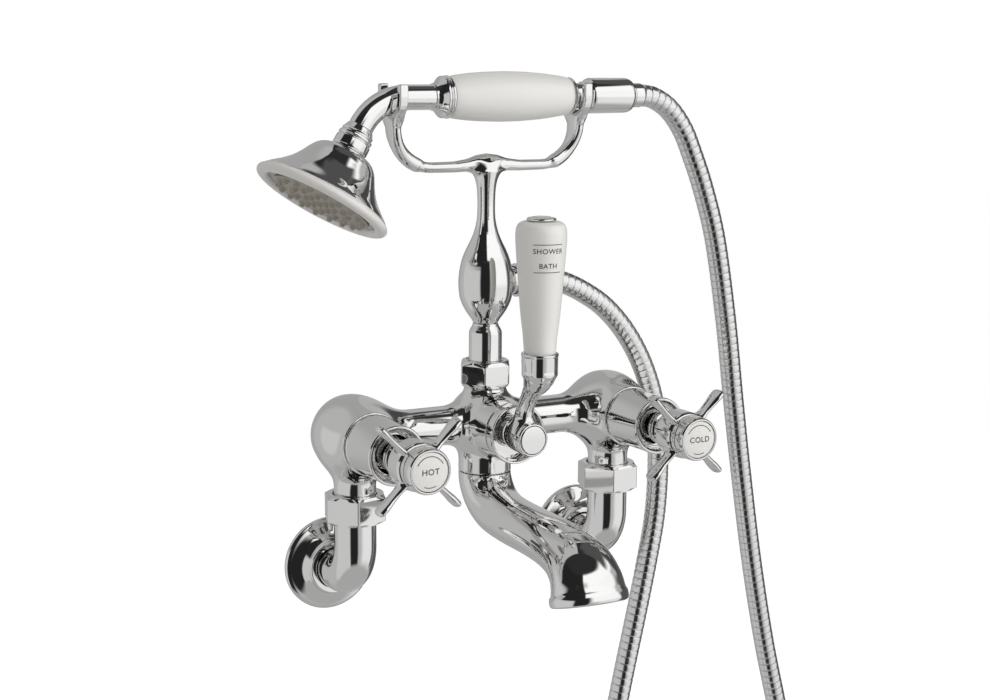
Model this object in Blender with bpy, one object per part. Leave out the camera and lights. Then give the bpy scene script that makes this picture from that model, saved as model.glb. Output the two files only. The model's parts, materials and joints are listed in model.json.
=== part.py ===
"""Wall mounted bath faucet with hand shower.

Model frame: the wall is the plane y = 0, the room is on the -Y side, +X is the cold side and +Z is up.
The origin is on the wall, midway between the two wall flanges. Every length below is in millimetres
and is turned into metres where a mesh is made.
"""
import math

import bmesh
import bpy
from mathutils import Matrix, Vector

MM = 0.001
GAP = 0.3                      # clearance between pieces that touch

# Driving dimensions
CENTRES = 180.0                # hot inlet to cold inlet
BODY_Y = -41.0                 # axis of the crossbar, riser and hand shower
LEG_Y = -43.0                  # upright axis of the two legs
AXIS_Z = 90.0                  # axis of the valves, crossbar and diverter
LEG_R = 12.9                   # outside radius of a wall elbow
FLANGE_R = 29.5
UNION_AF = 35.2                # union nut across flats
UNION_Z = 37.4                 # underside of a union nut
UNION_H = 17.6
BAR_R = 12.0
BULB_R = 24.0
BONNET_BACK = 70.0             # distances from the wall along a valve's axis
BONNET_FRONT = 103.0
CAP_FRONT = 146.0
DIVERTER_BACK = 76.0
DIVERTER_FRONT = 84.0
HUB_FRONT = 102.5
WING_REACH = 36.0              # valve axis to the tip of a wing
LEVER_Y = -109.0               # upright axis of the porcelain lever
LEVER_TOP = 222.0
FERRULE_Z = 130.0
NECK_TOP = 112.5               # top of the body under the riser nut
RISER_AF = 30.0
RISER_TOP = 152.5
YOKE_Z = 249.5                 # axis of the yoke's rod
YOKE_ROD_R = 3.4
FORK_X = 63.0                  # column axis to a fork
FORK_HALF = 13.7               # fork's half width, on its bar's axis
FORK_TOP = 299.5
HANDSET_Z = 291.5              # axis of the hand shower's handle
HANDSET_ROLL = math.radians(3.9)
NECK_R = 7.6                   # hand shower's neck, where the forks hold it
BEND_X = -54.1                 # start of the bend in the hand shower's neck
BEND_R = 35.3
BEND_TURN = math.radians(57.9)
ROSE_R = 42.3
ROSE_DEPTH = 50.1              # end of the bent neck to the widest part of the rim
NIPPLE_Z = 178.0
SPOUT_SEAM = 58.7
SPOUT_R = 16.5
HOSE_R = 7.0
HOSE_START = 36.0
HOSE_END = 111.0
BIG, MID, SMALL = 16, 12, 8    # sides of round pieces

# Rings of the spout: distance from the wall and height of its front, then of its back, and half width
SPOUT_RINGS = ((57.5, 58.7, 24.5, 58.7, 16.5), (57.8, 57.4, 24.6, 54.6, 16.5),
               (58.8, 55.6, 25.6, 49.6, 16.6), (60.6, 53.9, 28.4, 43.0, 16.6),
               (63.4, 52.3, 34.0, 35.2, 16.5), (68.0, 51.0, 43.0, 27.8, 16.3),
               (74.0, 50.2, 57.0, 22.2, 16.1), (85.3, 49.4, 80.0, 20.2, 16.2),
               (108.4, 48.8, 107.6, 20.0, 16.8), (131.3, 48.3, 128.7, 18.9, 17.8),
               (150.7, 46.3, 143.3, 16.1, 19.0), (167.1, 40.9, 150.1, 12.3, 20.6),
               (178.7, 31.0, 150.9, 10.2, 22.0), (184.4, 21.0, 150.4, 8.6, 23.0),
               (186.3, 17.8, 149.5, 8.0, 24.0), (187.4, 14.3, 150.4, 4.3, 24.2),
               (186.8, 12.8, 151.6, 3.4, 23.2))
SPOUT_WALL = 3.6
SOCKET_FLOOR = 51.6            # ledge in the spout that the seal and the body's spigot stand on

# The hose's own route, (x, z) in the plane y = BODY_Y, from the outlet nipple to the hand shower
HOSE_ROUTE = ((HOSE_START, 178.0), (46.0, 177.3), (58.5, 173.4), (71.5, 167.0), (85.4, 157.8),
              (98.6, 144.8), (110.2, 128.8), (119.6, 110.4), (126.6, 89.0), (130.4, 64.0),
              (130.9, 37.0), (129.0, 11.0), (124.2, -16.0), (118.2, -45.0), (105.8, -101.0),
              (99.4, -134.0), (95.2, -170.0), (96.6, -211.0), (105.4, -250.0), (123.5, -282.6),
              (149.5, -304.0), (180.0, -310.4), (210.5, -300.4), (233.5, -276.0), (246.0, -241.0),
              (248.0, -201.0), (243.4, -163.0), (235.8, -134.0), (223.6, -88.0), (211.0, -30.0),
              (200.4, 29.0), (191.2, 86.0), (183.0, 141.0), (172.6, 195.0), (162.0, 229.0),
              (151.6, 254.0), (143.6, 269.8), (132.8, 282.6), (120.6, 289.8), (HOSE_END, 291.5))
HOSE_POINTS = 68
HOSE_EXIT = 5.0                # straight length at each end

CHROME = ("chrome", (0.78, 0.78, 0.77), 0.06, 1.0)
BRASS = ("brass", (0.72, 0.52, 0.26), 0.3, 1.0)
PORCELAIN = ("porcelain", (0.86, 0.85, 0.82), 0.12, 0.0)
FIBRE = ("fibre", (0.42, 0.16, 0.1), 0.8, 0.0)
RUBBER = ("rubber", (0.03, 0.03, 0.03), 0.7, 0.0)
CERAMIC = ("ceramic", (0.8, 0.79, 0.76), 0.25, 0.0)
SILICONE = ("silicone", (0.56, 0.52, 0.45), 0.55, 0.0)
STEEL = ("steel", (0.62, 0.62, 0.63), 0.28, 1.0)
PLASTIC = ("plastic", (0.5, 0.5, 0.49), 0.35, 0.2)


def clear_scene():
    for old in list(bpy.data.objects):
        bpy.data.objects.remove(old, do_unlink=True)


def material(finish):
    """One Principled material for each part."""
    name, colour, roughness, metallic = finish
    made = bpy.data.materials.new(name)
    made.use_nodes = True
    shader = made.node_tree.nodes["Principled BSDF"]
    shader.inputs["Base Color"].default_value = (*colour, 1.0)
    shader.inputs["Roughness"].default_value = roughness
    shader.inputs["Metallic"].default_value = metallic
    return made


def soften(profile, steps=1):
    """Round each corner that carries a third value: how far from it the rounding starts."""
    points = []
    count = len(profile)
    for index, point in enumerate(profile):
        if len(point) == 2:
            points.append(Vector(point))
            continue
        corner = Vector(point[:2])
        before = Vector(profile[index - 1][:2])
        after = Vector(profile[(index + 1) % count][:2])
        start = corner + (before - corner).normalized() * point[2]
        end = corner + (after - corner).normalized() * point[2]
        for step in range(steps + 1):
            u = step / steps
            points.append(start * (1 - u) ** 2 + corner * 2 * u * (1 - u) + end * u * u)
    return points


def turned(profile, origin, axis, sides=MID, turn=0.0):
    """Rings of a round piece. The profile's points are (radius, distance along the axis)."""
    frame = Matrix.Translation(origin) @ Vector(axis).to_track_quat("Z", "Y").to_matrix().to_4x4()
    rings = []
    for radius, height in soften(profile):
        angles = (turn + 2 * math.pi * side / sides for side in range(sides))
        rings.append([frame @ Vector((radius * math.cos(a), radius * math.sin(a), height))
                      for a in angles])
    return rings


def swept(path, halves, normal, sides=MID, turn=0.0):
    """Rings along a flat path. halves holds each ring's half size along the plane's normal and in it.

    A point given twice is a step in size: both of its rings lie in one plane. turn turns the corners.
    """
    normal = Vector(normal).normalized()
    path = [Vector(point) for point in path]
    rings = []
    for index, point in enumerate(path):
        before = next((p for p in reversed(path[:index]) if (p - point).length > 1e-6), point)
        after = next((p for p in path[index + 1:] if (p - point).length > 1e-6), point)
        side = (after - before).normalized().cross(normal)
        along_normal, in_plane = halves[index]
        angles = (turn + 2 * math.pi * k / sides for k in range(sides))
        rings.append([point + normal * along_normal * math.cos(a) + side * in_plane * math.sin(a)
                      for a in angles])
    return rings


def solid(name, rings, finish, parent=None, looped=False):
    """Skin rings into one closed object. A looped list of rings makes a piece with a hole."""
    mesh = bmesh.new()
    origin = parent.location / MM if parent else Vector()
    rows = [[mesh.verts.new((point - origin) * MM) for point in ring] for ring in rings]
    count = len(rows[0])
    pairs = list(zip(rows, rows[1:]))
    if looped:
        pairs.append((rows[-1], rows[0]))
    for low, high in pairs:
        for k in range(count):
            after = (k + 1) % count
            mesh.faces.new((low[k], low[after], high[after], high[k]))
    if not looped:
        mesh.faces.new(list(reversed(rows[0])))
        mesh.faces.new(rows[-1])
    return to_object(name, mesh, finish, parent)


def to_object(name, mesh, finish, parent=None):
    bmesh.ops.recalc_face_normals(mesh, faces=mesh.faces[:])
    data = bpy.data.meshes.new(name)
    mesh.to_mesh(data)
    mesh.free()
    data.materials.append(material(finish))
    data.shade_smooth()
    data.set_sharp_from_angle(angle=math.radians(35))
    made = bpy.data.objects.new(name, data)
    bpy.context.scene.collection.objects.link(made)
    made.parent = parent
    return made


def combine(target, operation, tools):
    """Add or cut hidden helper solids with Boolean modifiers."""
    for tool in tools:
        tool.hide_render = True
        tool.display_type = "WIRE"
        step = target.modifiers.new(tool.name, "BOOLEAN")
        step.operation = operation
        step.solver = "EXACT"
        step.object = tool


def rod(name, start, end, radius, sides=MID, parent=None):
    """A plain round helper between two points."""
    start, end = Vector(start), Vector(end)
    profile = ((radius, 0.0), (radius, (end - start).length))
    return solid(name, turned(profile, start, end - start, sides), STEEL, parent)


def pivot(name, location):
    empty = bpy.data.objects.new(name, None)
    empty.location = Vector(location) * MM
    bpy.context.scene.collection.objects.link(empty)
    return empty


def hex_nut(name, centre, axis, flats, height, bores, turn, finish=CHROME, parent=None, dome=0.45):
    """Six-sided nut with turned corners. bores holds (radius, from, to) of its stepped hole."""
    corner = flats / math.sqrt(3)
    face = flats / 2
    chamfer = (corner - face) * dome * 2
    nut = solid(name, turned(((corner, 0.0), (corner, height)), centre, axis, 6, turn), finish, parent)
    shape = ((face - 0.8, -1.0), (corner - 0.6, chamfer), (corner + 0.6, chamfer * 1.6),
             (corner + 0.6, height - chamfer * 1.6), (corner - 0.6, height - chamfer),
             (face - 0.8, height + 1.0))
    combine(nut, "INTERSECT", [solid(name + "_turning", turned(shape, centre, axis, BIG), STEEL)])
    axis = Vector(axis).normalized()
    centre = Vector(centre)
    cuts = [rod(f"{name}_bore_{index}", centre + axis * low, centre + axis * high, radius, BIG)
            for index, (radius, low, high) in enumerate(bores)]
    combine(nut, "DIFFERENCE", cuts)
    return nut


def wall_flange(side, x):
    profile = ((FLANGE_R, 0.2), (FLANGE_R, 2.6, 1.4), (26.6, 5.0, 1.2), (18.2, 8.6), (16.6, 9.2, 0.8),
               (15.8, 13.4, 0.8), (LEG_R + GAP, 13.6), (LEG_R + GAP, 11.4), (15.0, 7.0),
               (25.6, 3.2), (27.0, 0.2))
    return solid(f"{side}_wall_flange", turned(profile, (x, 0, 0), (0, -1, 0), BIG), CHROME, looped=True)


def wall_elbow(side, x):
    """Bent inlet with a threaded tail behind the wall and a collar inside the union nut."""
    bend = 22.0
    tail, bore, collar = 10.4, 8.4, 14.8
    path = [(x, 24.0, 0.0), (x, -0.5, 0.0), (x, -0.5, 0.0), (x, -10.0, 0.0)]
    sizes = [tail, tail, LEG_R, LEG_R]
    for step in range(5):
        angle = math.pi / 2 * step / 4
        path.append((x, LEG_Y + bend - bend * math.sin(angle), bend - bend * math.cos(angle)))
        sizes.append(LEG_R)
    path += [(x, LEG_Y, UNION_Z + 1.6), (x, LEG_Y, UNION_Z + 1.6), (x, LEG_Y, UNION_Z + 4.2)]
    sizes += [LEG_R, collar, collar]
    outside = swept(path, [(size, size) for size in sizes], (1, 0, 0))
    inside = swept(path, [(bore, bore)] * len(path), (1, 0, 0))
    return solid(f"{side}_wall_elbow", outside + inside[::-1], CHROME, looped=True)


def union_parts(side, x, turn):
    nut_bores = ((LEG_R + GAP, -2.0, UNION_H + 2), (15.2, 1.2, UNION_H - 2.2), (13.4, 3.0, UNION_H + 2))
    hex_nut(f"{side}_union_nut", (x, LEG_Y, UNION_Z), (0, 0, 1), UNION_AF, UNION_H, nut_bores, turn)
    base = UNION_Z + 4.2 + GAP
    profile = ((14.4, base), (14.4, base + 1.8), (9.0, base + 1.8), (9.0, base))
    solid(f"{side}_inlet_washer", turned(profile, (x, LEG_Y, 0), (0, 0, 1), MID), FIBRE, looped=True)


def mixer_body():
    """One casting: two valve bulbs, crossbar, centre body, and the water ways inside it."""
    half = CENTRES / 2
    bar = ((15.0, -78.0), (12.8, -68.0), (BAR_R, -60.0), (BAR_R, -32.0), (13.6, -24.0), (16.0, -17.0),
           (16.0, 17.0), (13.6, 24.0), (BAR_R, 32.0), (BAR_R, 60.0), (12.8, 68.0), (15.0, 78.0))
    body = solid("mixer_body", turned(bar, (0, BODY_Y, AXIS_Z), (1, 0, 0), BIG), CHROME)
    bulb = ((6.0, 16.2), (14.0, 19.2), (20.0, 25.2), (23.4, 33.0), (BULB_R, 41.0), (23.0, 48.0),
            (20.6, 54.0), (19.6, 59.0), (19.4, BONNET_BACK))
    stem_low = UNION_Z + 4.2 + 2 * GAP + 1.8
    stem = ((12.8, stem_low), (12.8, 64.0), (14.2, 69.0), (17.6, 74.0), (17.6, 86.0))
    adds, cuts = [], []
    for side, x in (("hot", -half), ("cold", half)):
        adds.append(solid(f"{side}_bulb", turned(bulb, (x, 0, AXIS_Z), (0, -1, 0), BIG), CHROME))
        adds.append(solid(f"{side}_stem", turned(stem, (x, LEG_Y, 0), (0, 0, 1), BIG), CHROME))
        cuts.append(rod(f"{side}_inlet", (x, LEG_Y, stem_low - 2), (x, LEG_Y, 68.0), 7.0, SMALL))
        cuts.append(rod(f"{side}_rise", (x, LEG_Y, 65.0), (x, -24.5, 88.0), 5.0, SMALL))
        cuts.append(rod(f"{side}_pocket", (x, -22.0, AXIS_Z), (x, -42.0, AXIS_Z), 5.5, SMALL))
        cuts.append(rod(f"{side}_chamber", (x, -40.0, AXIS_Z), (x, -75.0, AXIS_Z), 10.6, MID))
    spigot_low = SOCKET_FLOOR + 1.7 + 2 * GAP
    centre = ((12.0, spigot_low), (12.0, SPOUT_SEAM + GAP), (SPOUT_R, SPOUT_SEAM + GAP),
              (SPOUT_R, 72.0), (18.0, 79.0), (18.6, 92.0), (17.0, 100.0), (13.8, 107.0),
              (13.0, NECK_TOP), (11.8, NECK_TOP), (11.8, 117.0))
    boss = ((8.0, 21.0), (15.0, 24.0), (19.0, 31.0), (19.8, 42.0), (18.8, 52.0), (18.4, DIVERTER_BACK))
    adds.append(solid("centre_post", turned(centre, (0, BODY_Y, 0), (0, 0, 1), BIG), CHROME))
    adds.append(solid("diverter_boss", turned(boss, (0, 0, AXIS_Z), (0, -1, 0), BIG), CHROME))
    cuts.append(rod("crossway", (-half, -46.0, AXIS_Z), (half, -46.0, AXIS_Z), 4.5, SMALL))
    cuts.append(rod("diverter_chamber", (0, -38.0, AXIS_Z), (0, -80.0, AXIS_Z), 10.6, MID))
    cuts.append(rod("bonnet_seat", (0, -68.0, AXIS_Z), (0, -81.3, AXIS_Z), 16.0, BIG))
    cuts.append(rod("up_way", (0, BODY_Y, 86.7), (0, BODY_Y, 120.0), 6.0, SMALL))
    cuts.append(rod("down_way", (0, BODY_Y, 93.1), (0, BODY_Y, 50.0), 8.0, SMALL))
    combine(body, "UNION", adds)
    combine(body, "DIFFERENCE", cuts)


def bonnet(name, x, back, front, radius, dish):
    """Round shroud with a dished front and a hole for the spindle's gland."""
    low = back + GAP
    profile = ((radius + 0.3, low), (radius + 0.7, low + 1.6, 0.6), (radius - 0.2, front - 2.6, 0.8),
               (radius - 0.2, front, 0.8), (radius - 2.2, front, 0.6), (radius - 3.6, front - dish * 0.5),
               (11.8, front - dish), (11.8, front - dish - 1.8), (radius - 3.0, front - dish - 1.8),
               (radius - 3.0, low))
    return solid(name, turned(profile, (x, 0, AXIS_Z), (0, -1, 0), BIG), CHROME, looped=True)


def valve_inside(side, x):
    """Quarter-turn cartridge: seal, fixed disc and brass headwork."""
    at = (x, 0, AXIS_Z)
    seal = ((8.6, 40.3), (8.6, 42.0), (5.8, 42.0), (5.8, 40.3))
    disc = ((8.8, 42.3), (8.8, 45.0), (3.0, 45.0), (3.0, 42.3))
    housing = ((8.0, 49.0), (10.3, 51.0), (10.3, 72.0), (11.4, 72.0), (11.4, 80.0, 0.8), (9.6, 82.0),
               (9.6, 96.0, 0.6), (5.4, 96.0), (5.4, 49.0))
    solid(f"{side}_seat_seal", turned(seal, at, (0, -1, 0), SMALL), RUBBER, looped=True)
    solid(f"{side}_fixed_disc", turned(disc, at, (0, -1, 0), SMALL), CERAMIC, looped=True)
    solid(f"{side}_cartridge", turned(housing, at, (0, -1, 0), MID), CHROME, looped=True)


def wing(name, x, angle, parent):
    """One flat wing of a cross handle: a paddle whose broad faces hold the valve's axis."""
    outward = Vector((math.cos(angle), 0, math.sin(angle)))
    across = Vector((-math.sin(angle), 0, math.cos(angle)))
    axis = Vector((0, -1, 0))
    middle = Vector((x, -130.0, AXIS_Z))
    stations = ((8.0, 4.4, 2.2), (18.0, 3.7, 1.8), (27.0, 4.5, 2.0), (32.0, 5.2, 2.3), (34.6, 4.2, 2.1),
                (WING_REACH, 2.0, 1.1))
    rings = []
    for reach, deep, thick in stations:
        rings.append([middle + outward * reach + axis * deep * math.cos(a) + across * thick * math.sin(a)
                      for a in (2 * math.pi * k / 6 for k in range(6))])
    return solid(name, rings, CHROME, parent)


def cross_handle(side, x, parent):
    """Hub and four wings in one casting, bored for the spindle and its screw."""
    at = (x, 0, AXIS_Z)
    hub = ((8.4, 98.0), (8.6, 106.0), (11.0, 108.0, 0.8), (11.0, 111.5, 0.8), (9.4, 113.0), (10.6, 117.0),
           (14.2, 120.5, 1.2), (14.2, 132.0, 1.0), (12.6, 134.4), (12.6, 135.4), (13.4, 136.2),
           (13.4, 138.6))
    handle = solid(f"{side}_handle", turned(hub, at, (0, -1, 0), BIG), CHROME, parent)
    wings = [wing(f"{side}_wing_{k}", x, math.pi / 4 + math.pi / 2 * k, parent) for k in range(4)]
    combine(handle, "UNION", wings)
    combine(handle, "DIFFERENCE", [
        rod(f"{side}_spindle_hole", (x, -96.0, AXIS_Z), (x, -128.3, AXIS_Z), 4.2, SMALL, parent),
        rod(f"{side}_screw_hole", (x, -127.0, AXIS_Z), (x, -140.0, AXIS_Z), 2.4, SMALL, parent),
        rod(f"{side}_screw_pocket", (x, -134.0, AXIS_Z), (x, -140.0, AXIS_Z), 5.0, SMALL, parent)])


def valve_moving(side, x, parent):
    """Everything that turns with one handle."""
    at = (x, 0, AXIS_Z)
    disc = ((8.8, 45.3), (8.8, 48.3), (3.0, 48.3), (3.0, 45.3))
    spindle = ((4.6, 48.6), (4.9, 50.0), (4.9, 97.3), (3.9, 97.7), (3.9, 128.0), (1.7, 128.0),
               (1.7, 118.0), (0.6, 116.0))
    screw = ((1.3, 118.6), (1.3, 134.4), (4.0, 134.4), (4.0, 136.8, 0.6), (1.6, 137.2))
    bezel = ((13.0, 138.9), (13.0, CAP_FRONT - 1.4, 0.8), (12.2, CAP_FRONT, 0.4), (11.6, CAP_FRONT),
             (11.6, 140.4), (4.6, 140.4), (4.6, 138.9))
    index = ((11.2, 140.8), (11.3, CAP_FRONT - 0.6, 0.4), (9.8, CAP_FRONT - 0.1), (4.0, CAP_FRONT + 0.3))
    solid(f"{side}_moving_disc", turned(disc, at, (0, -1, 0), SMALL), CERAMIC, parent, looped=True)
    solid(f"{side}_spindle", turned(spindle, at, (0, -1, 0), SMALL), BRASS, parent)
    cross_handle(side, x, parent)
    solid(f"{side}_handle_screw", turned(screw, at, (0, -1, 0), SMALL), STEEL, parent)
    solid(f"{side}_index_bezel", turned(bezel, at, (0, -1, 0), BIG), CHROME, parent, looped=True)
    solid(f"{side}_index_disc", turned(index, at, (0, -1, 0), BIG), PORCELAIN, parent)


def diverter_fixed():
    """Bonnet, with a sleeve inside the body's boss, and headwork of the diverter."""
    front, radius = DIVERTER_FRONT, 18.7
    shell = ((15.7, 69.0), (15.7, DIVERTER_BACK + GAP), (radius - 0.2, DIVERTER_BACK + GAP),
             (radius, DIVERTER_BACK + 2.0), (radius, front, 0.8), (radius - 1.8, front, 0.6),
             (14.4, front - 5.0), (12.4, 72.6), (10.8, 72.0), (10.8, 69.0))
    housing = ((8.0, 49.0), (10.3, 51.0), (10.3, 71.4), (8.4, 72.6), (8.4, 78.6, 0.5), (5.0, 78.6),
               (5.0, 49.0))
    at = (0, 0, AXIS_Z)
    solid("diverter_bonnet", turned(shell, at, (0, -1, 0), BIG), CHROME, looped=True)
    solid("diverter_cartridge", turned(housing, at, (0, -1, 0), MID), CHROME, looped=True)


def lever_arm(parent):
    """Hub, curved arm and ferrule cup in one casting."""
    hub = ((7.0, 79.4), (9.8, 80.2), (10.0, 96.6), (9.4, 97.6), (10.2, 98.6), (10.2, 101.8, 0.5),
           (9.2, HUB_FRONT - 0.1), (8.8, HUB_FRONT - 0.1), (8.8, 99.8), (4.0, 99.8))
    arm = solid("lever_arm", turned(hub, (0, 0, AXIS_Z), (0, -1, 0), BIG), CHROME, parent)
    path = ((0, -91.0, 93.0), (0, -91.5, 101.0), (0, -93.5, 108.0), (0, -97.5, 115.0),
            (0, -102.8, 121.5), (0, -107.4, 127.0), (0, LEVER_Y, FERRULE_Z + 2.0))
    halves = ((7.6, 7.0), (6.2, 5.4), (5.0, 4.6), (5.2, 4.6), (6.6, 5.6), (8.8, 7.6), (10.2, 9.6))
    bend = solid("lever_bend", swept(path, halves, (1, 0, 0)), CHROME, parent)
    cup = ((9.4, 0.0), (10.7, 1.4), (10.9, 12.8), (11.2, 14.2, 0.4), (10.0, 14.4), (9.9, 12.0), (4.0, 12.0))
    ferrule = solid("lever_cup", turned(cup, (0, LEVER_Y, FERRULE_Z), (0, 0, 1), BIG), CHROME, parent)
    combine(arm, "UNION", [bend, ferrule])
    combine(arm, "DIFFERENCE", [
        rod("lever_stud_hole", (0, LEVER_Y, FERRULE_Z + 1), (0, LEVER_Y, FERRULE_Z + 14), 3.3, SMALL, parent),
        rod("lever_stem_hole", (0, -78.0, AXIS_Z), (0, -96.3, AXIS_Z), 4.9, SMALL, parent),
        rod("lever_screw_hole", (0, -95.0, AXIS_Z), (0, -101.0, AXIS_Z), 2.4, SMALL, parent)])


def diverter_moving(parent):
    """Everything that turns with the diverter lever."""
    at = (0, 0, AXIS_Z)
    upright = (0, LEVER_Y, 0)
    rotor = ((9.8, 38.6), (9.8, 48.6), (4.5, 48.6), (4.5, 96.0), (1.7, 96.0), (1.7, 88.0), (0.6, 86.6))
    screw = ((1.3, 88.6), (1.3, 100.2), (3.6, 100.2), (3.6, 101.0), (1.4, 101.2))
    cap = ((8.5, 101.5), (8.5, HUB_FRONT - 0.3, 0.3), (7.6, HUB_FRONT + 0.3), (3.0, HUB_FRONT + 0.5))
    stud = ((3.0, FERRULE_Z + 1.3), (3.0, LEVER_TOP - 0.3))
    grip = ((9.2, FERRULE_Z + 12.4), (9.5, 145.5), (10.4, 155.6), (11.6, 165.0), (12.6, 176.0),
            (14.3, 198.0), (15.2, 211.0), (15.0, 217.0), (13.6, LEVER_TOP - 0.9), (11.0, LEVER_TOP),
            (3.4, LEVER_TOP), (3.4, FERRULE_Z + 12.4))
    button = ((8.2, LEVER_TOP + GAP), (8.7, LEVER_TOP + 1.0), (8.4, LEVER_TOP + 2.0),
              (6.6, LEVER_TOP + 2.6), (2.0, LEVER_TOP + 3.0))
    solid("diverter_rotor", turned(rotor, at, (0, -1, 0), SMALL), BRASS, parent)
    lever_arm(parent)
    solid("lever_screw", turned(screw, at, (0, -1, 0), SMALL), STEEL, parent)
    solid("lever_cap", turned(cap, at, (0, -1, 0), BIG), CHROME, parent)
    solid("lever_stud", turned(stud, upright, (0, 0, 1), SMALL), STEEL, parent)
    solid("lever_grip", turned(grip, upright, (0, 0, 1), BIG), PORCELAIN, parent, looped=True)
    solid("lever_button", turned(button, upright, (0, 0, 1), MID), CHROME, parent)


def spout():
    """Hollow curved outlet with a flared oval mouth that faces down and a little forward."""
    across = Vector((1, 0, 0))
    outside, inside = [], []
    for front_y, front_z, back_y, back_z, wide in SPOUT_RINGS:
        front, back = Vector((0, -front_y, front_z)), Vector((0, -back_y, back_z))
        centre, deep = (front + back) / 2, (front - back) / 2
        for rings, wall in ((outside, 0.0), (inside, SPOUT_WALL)):
            rings.append([centre + across * (wide - wall) * math.cos(a)
                          + deep * (1 - wall / deep.length) * math.sin(a)
                          for a in (2 * math.pi * k / BIG for k in range(BIG))])
    socket = [((0, BODY_Y, height), radius) for height, radius in
              ((SOCKET_FLOOR - 2.0, 10.0), (SOCKET_FLOOR, 10.0), (SOCKET_FLOOR, 12.3), (SPOUT_SEAM, 12.3))]
    neck = [[Vector(centre) + across * radius * math.cos(a) + Vector((0, -radius, 0)) * math.sin(a)
             for a in (2 * math.pi * k / BIG for k in range(BIG))] for centre, radius in socket]
    solid("spout", outside + inside[:4:-1] + neck, CHROME, looped=True)
    low = SOCKET_FLOOR + GAP
    seal = ((12.0, low), (12.0, low + 1.7), (9.0, low + 1.7), (9.0, low))
    solid("spout_seal", turned(seal, (0, BODY_Y, 0), (0, 0, 1), SMALL), RUBBER, looped=True)


def riser():
    """Nut, washer and plain pipe between the body and the cradle."""
    at = (0, BODY_Y, 0)
    height = 16.7
    hex_nut("riser_nut", (0, BODY_Y, NECK_TOP + GAP), (0, 0, 1), RISER_AF, height,
            ((12.1, -2.0, 8.6), (10.7, 5.0, height + 2)), math.radians(-118.5), dome=0.8)
    washer = ((11.6, 117.3), (11.6, 118.6), (7.0, 118.6), (7.0, 117.3))
    pipe = ((11.8, 118.9), (11.8, 121.0), (10.3, 121.0), (10.3, 147.4), (8.0, 151.6), (8.0, RISER_TOP),
            (6.6, RISER_TOP), (6.6, 159.4), (4.6, 159.4), (4.6, 118.9))
    solid("riser_washer", turned(washer, at, (0, 0, 1), SMALL), FIBRE, looped=True)
    solid("riser_pipe", turned(pipe, at, (0, 0, 1), BIG), CHROME, looped=True)


def cradle():
    """Baluster, stem and forked yoke in one casting."""
    at = (0, BODY_Y, 0)
    baluster = ((8.0, RISER_TOP + GAP), (8.6, 154.2), (11.2, 157.6), (14.0, 162.6), (16.2, 168.4),
                (16.9, 175.0), (16.9, 181.0), (16.0, 188.0), (14.8, 193.0), (12.4, 198.0), (9.9, 203.0),
                (7.8, 208.0), (6.5, 213.0), (5.6, 218.0), (5.6, 228.0), (6.3, 237.0), (7.8, 242.6),
                (9.6, 246.6))
    made = solid("cradle", turned(baluster, at, (0, 0, 1), BIG), CHROME)
    reach = 25.0
    fan = (7.6, 6.3, 5.0, 4.1, 3.6, YOKE_ROD_R)       # half width towards the wall along the arc
    left = [(-FORK_X, 278.4, 9.2, 2.7), (-FORK_X, 276.0, 8.6, 2.8)]
    for step, wide in enumerate(fan):
        angle = math.pi / 2 * step / (len(fan) - 1)
        left.append((-FORK_X + reach - reach * math.cos(angle), YOKE_Z + reach - reach * math.sin(angle),
                     wide, YOKE_ROD_R - 0.08 * (len(fan) - 1 - step)))
    left += [(-22.0, YOKE_Z + 0.1, 3.5, 3.5), (-12.0, YOKE_Z + 1.0, 4.2, 4.2), (-5.0, YOKE_Z + 2.4, 4.9, 4.9)]
    line = left + [(-x, z, wide, deep) for x, z, wide, deep in reversed(left)]
    path = [(x, BODY_Y, z) for x, z, _, _ in line]
    rail = solid("yoke_rail", swept(path, [(wide, deep) for _, _, wide, deep in line], (0, 1, 0), SMALL), CHROME)
    adds = [rail] + [fork(side, x) for side, x in (("left", -FORK_X), ("right", FORK_X))]
    combine(made, "UNION", adds)
    combine(made, "DIFFERENCE", [
        rod("spigot_bore", (0, BODY_Y, 150.0), (0, BODY_Y, 160.0), 6.9, MID),
        rod("riser_bore", (0, BODY_Y, 158.0), (0, BODY_Y, 181.0), 5.0, SMALL),
        rod("outlet_bore", (0, BODY_Y, NIPPLE_Z), (22.0, BODY_Y, NIPPLE_Z), 6.3, MID)])


def fork(side, x):
    """U-shaped fork of square bar that holds the hand shower's neck."""
    saddle = HANDSET_Z - NECK_R - 3.0
    half_wide, half_thick = 2.6, 2.45
    middle = saddle - half_thick + FORK_HALF
    path = [(x, BODY_Y - FORK_HALF, FORK_TOP)]
    for step in range(9):
        angle = math.pi * step / 8
        path.append((x, BODY_Y - FORK_HALF * math.cos(angle), middle - FORK_HALF * math.sin(angle)))
    path.append((x, BODY_Y + FORK_HALF, FORK_TOP))
    corner = math.sqrt(2)
    halves = [(half_wide * corner, half_thick * corner)] * len(path)
    return solid(f"{side}_fork", swept(path, halves, (1, 0, 0), 4, math.pi / 4), CHROME)


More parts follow.
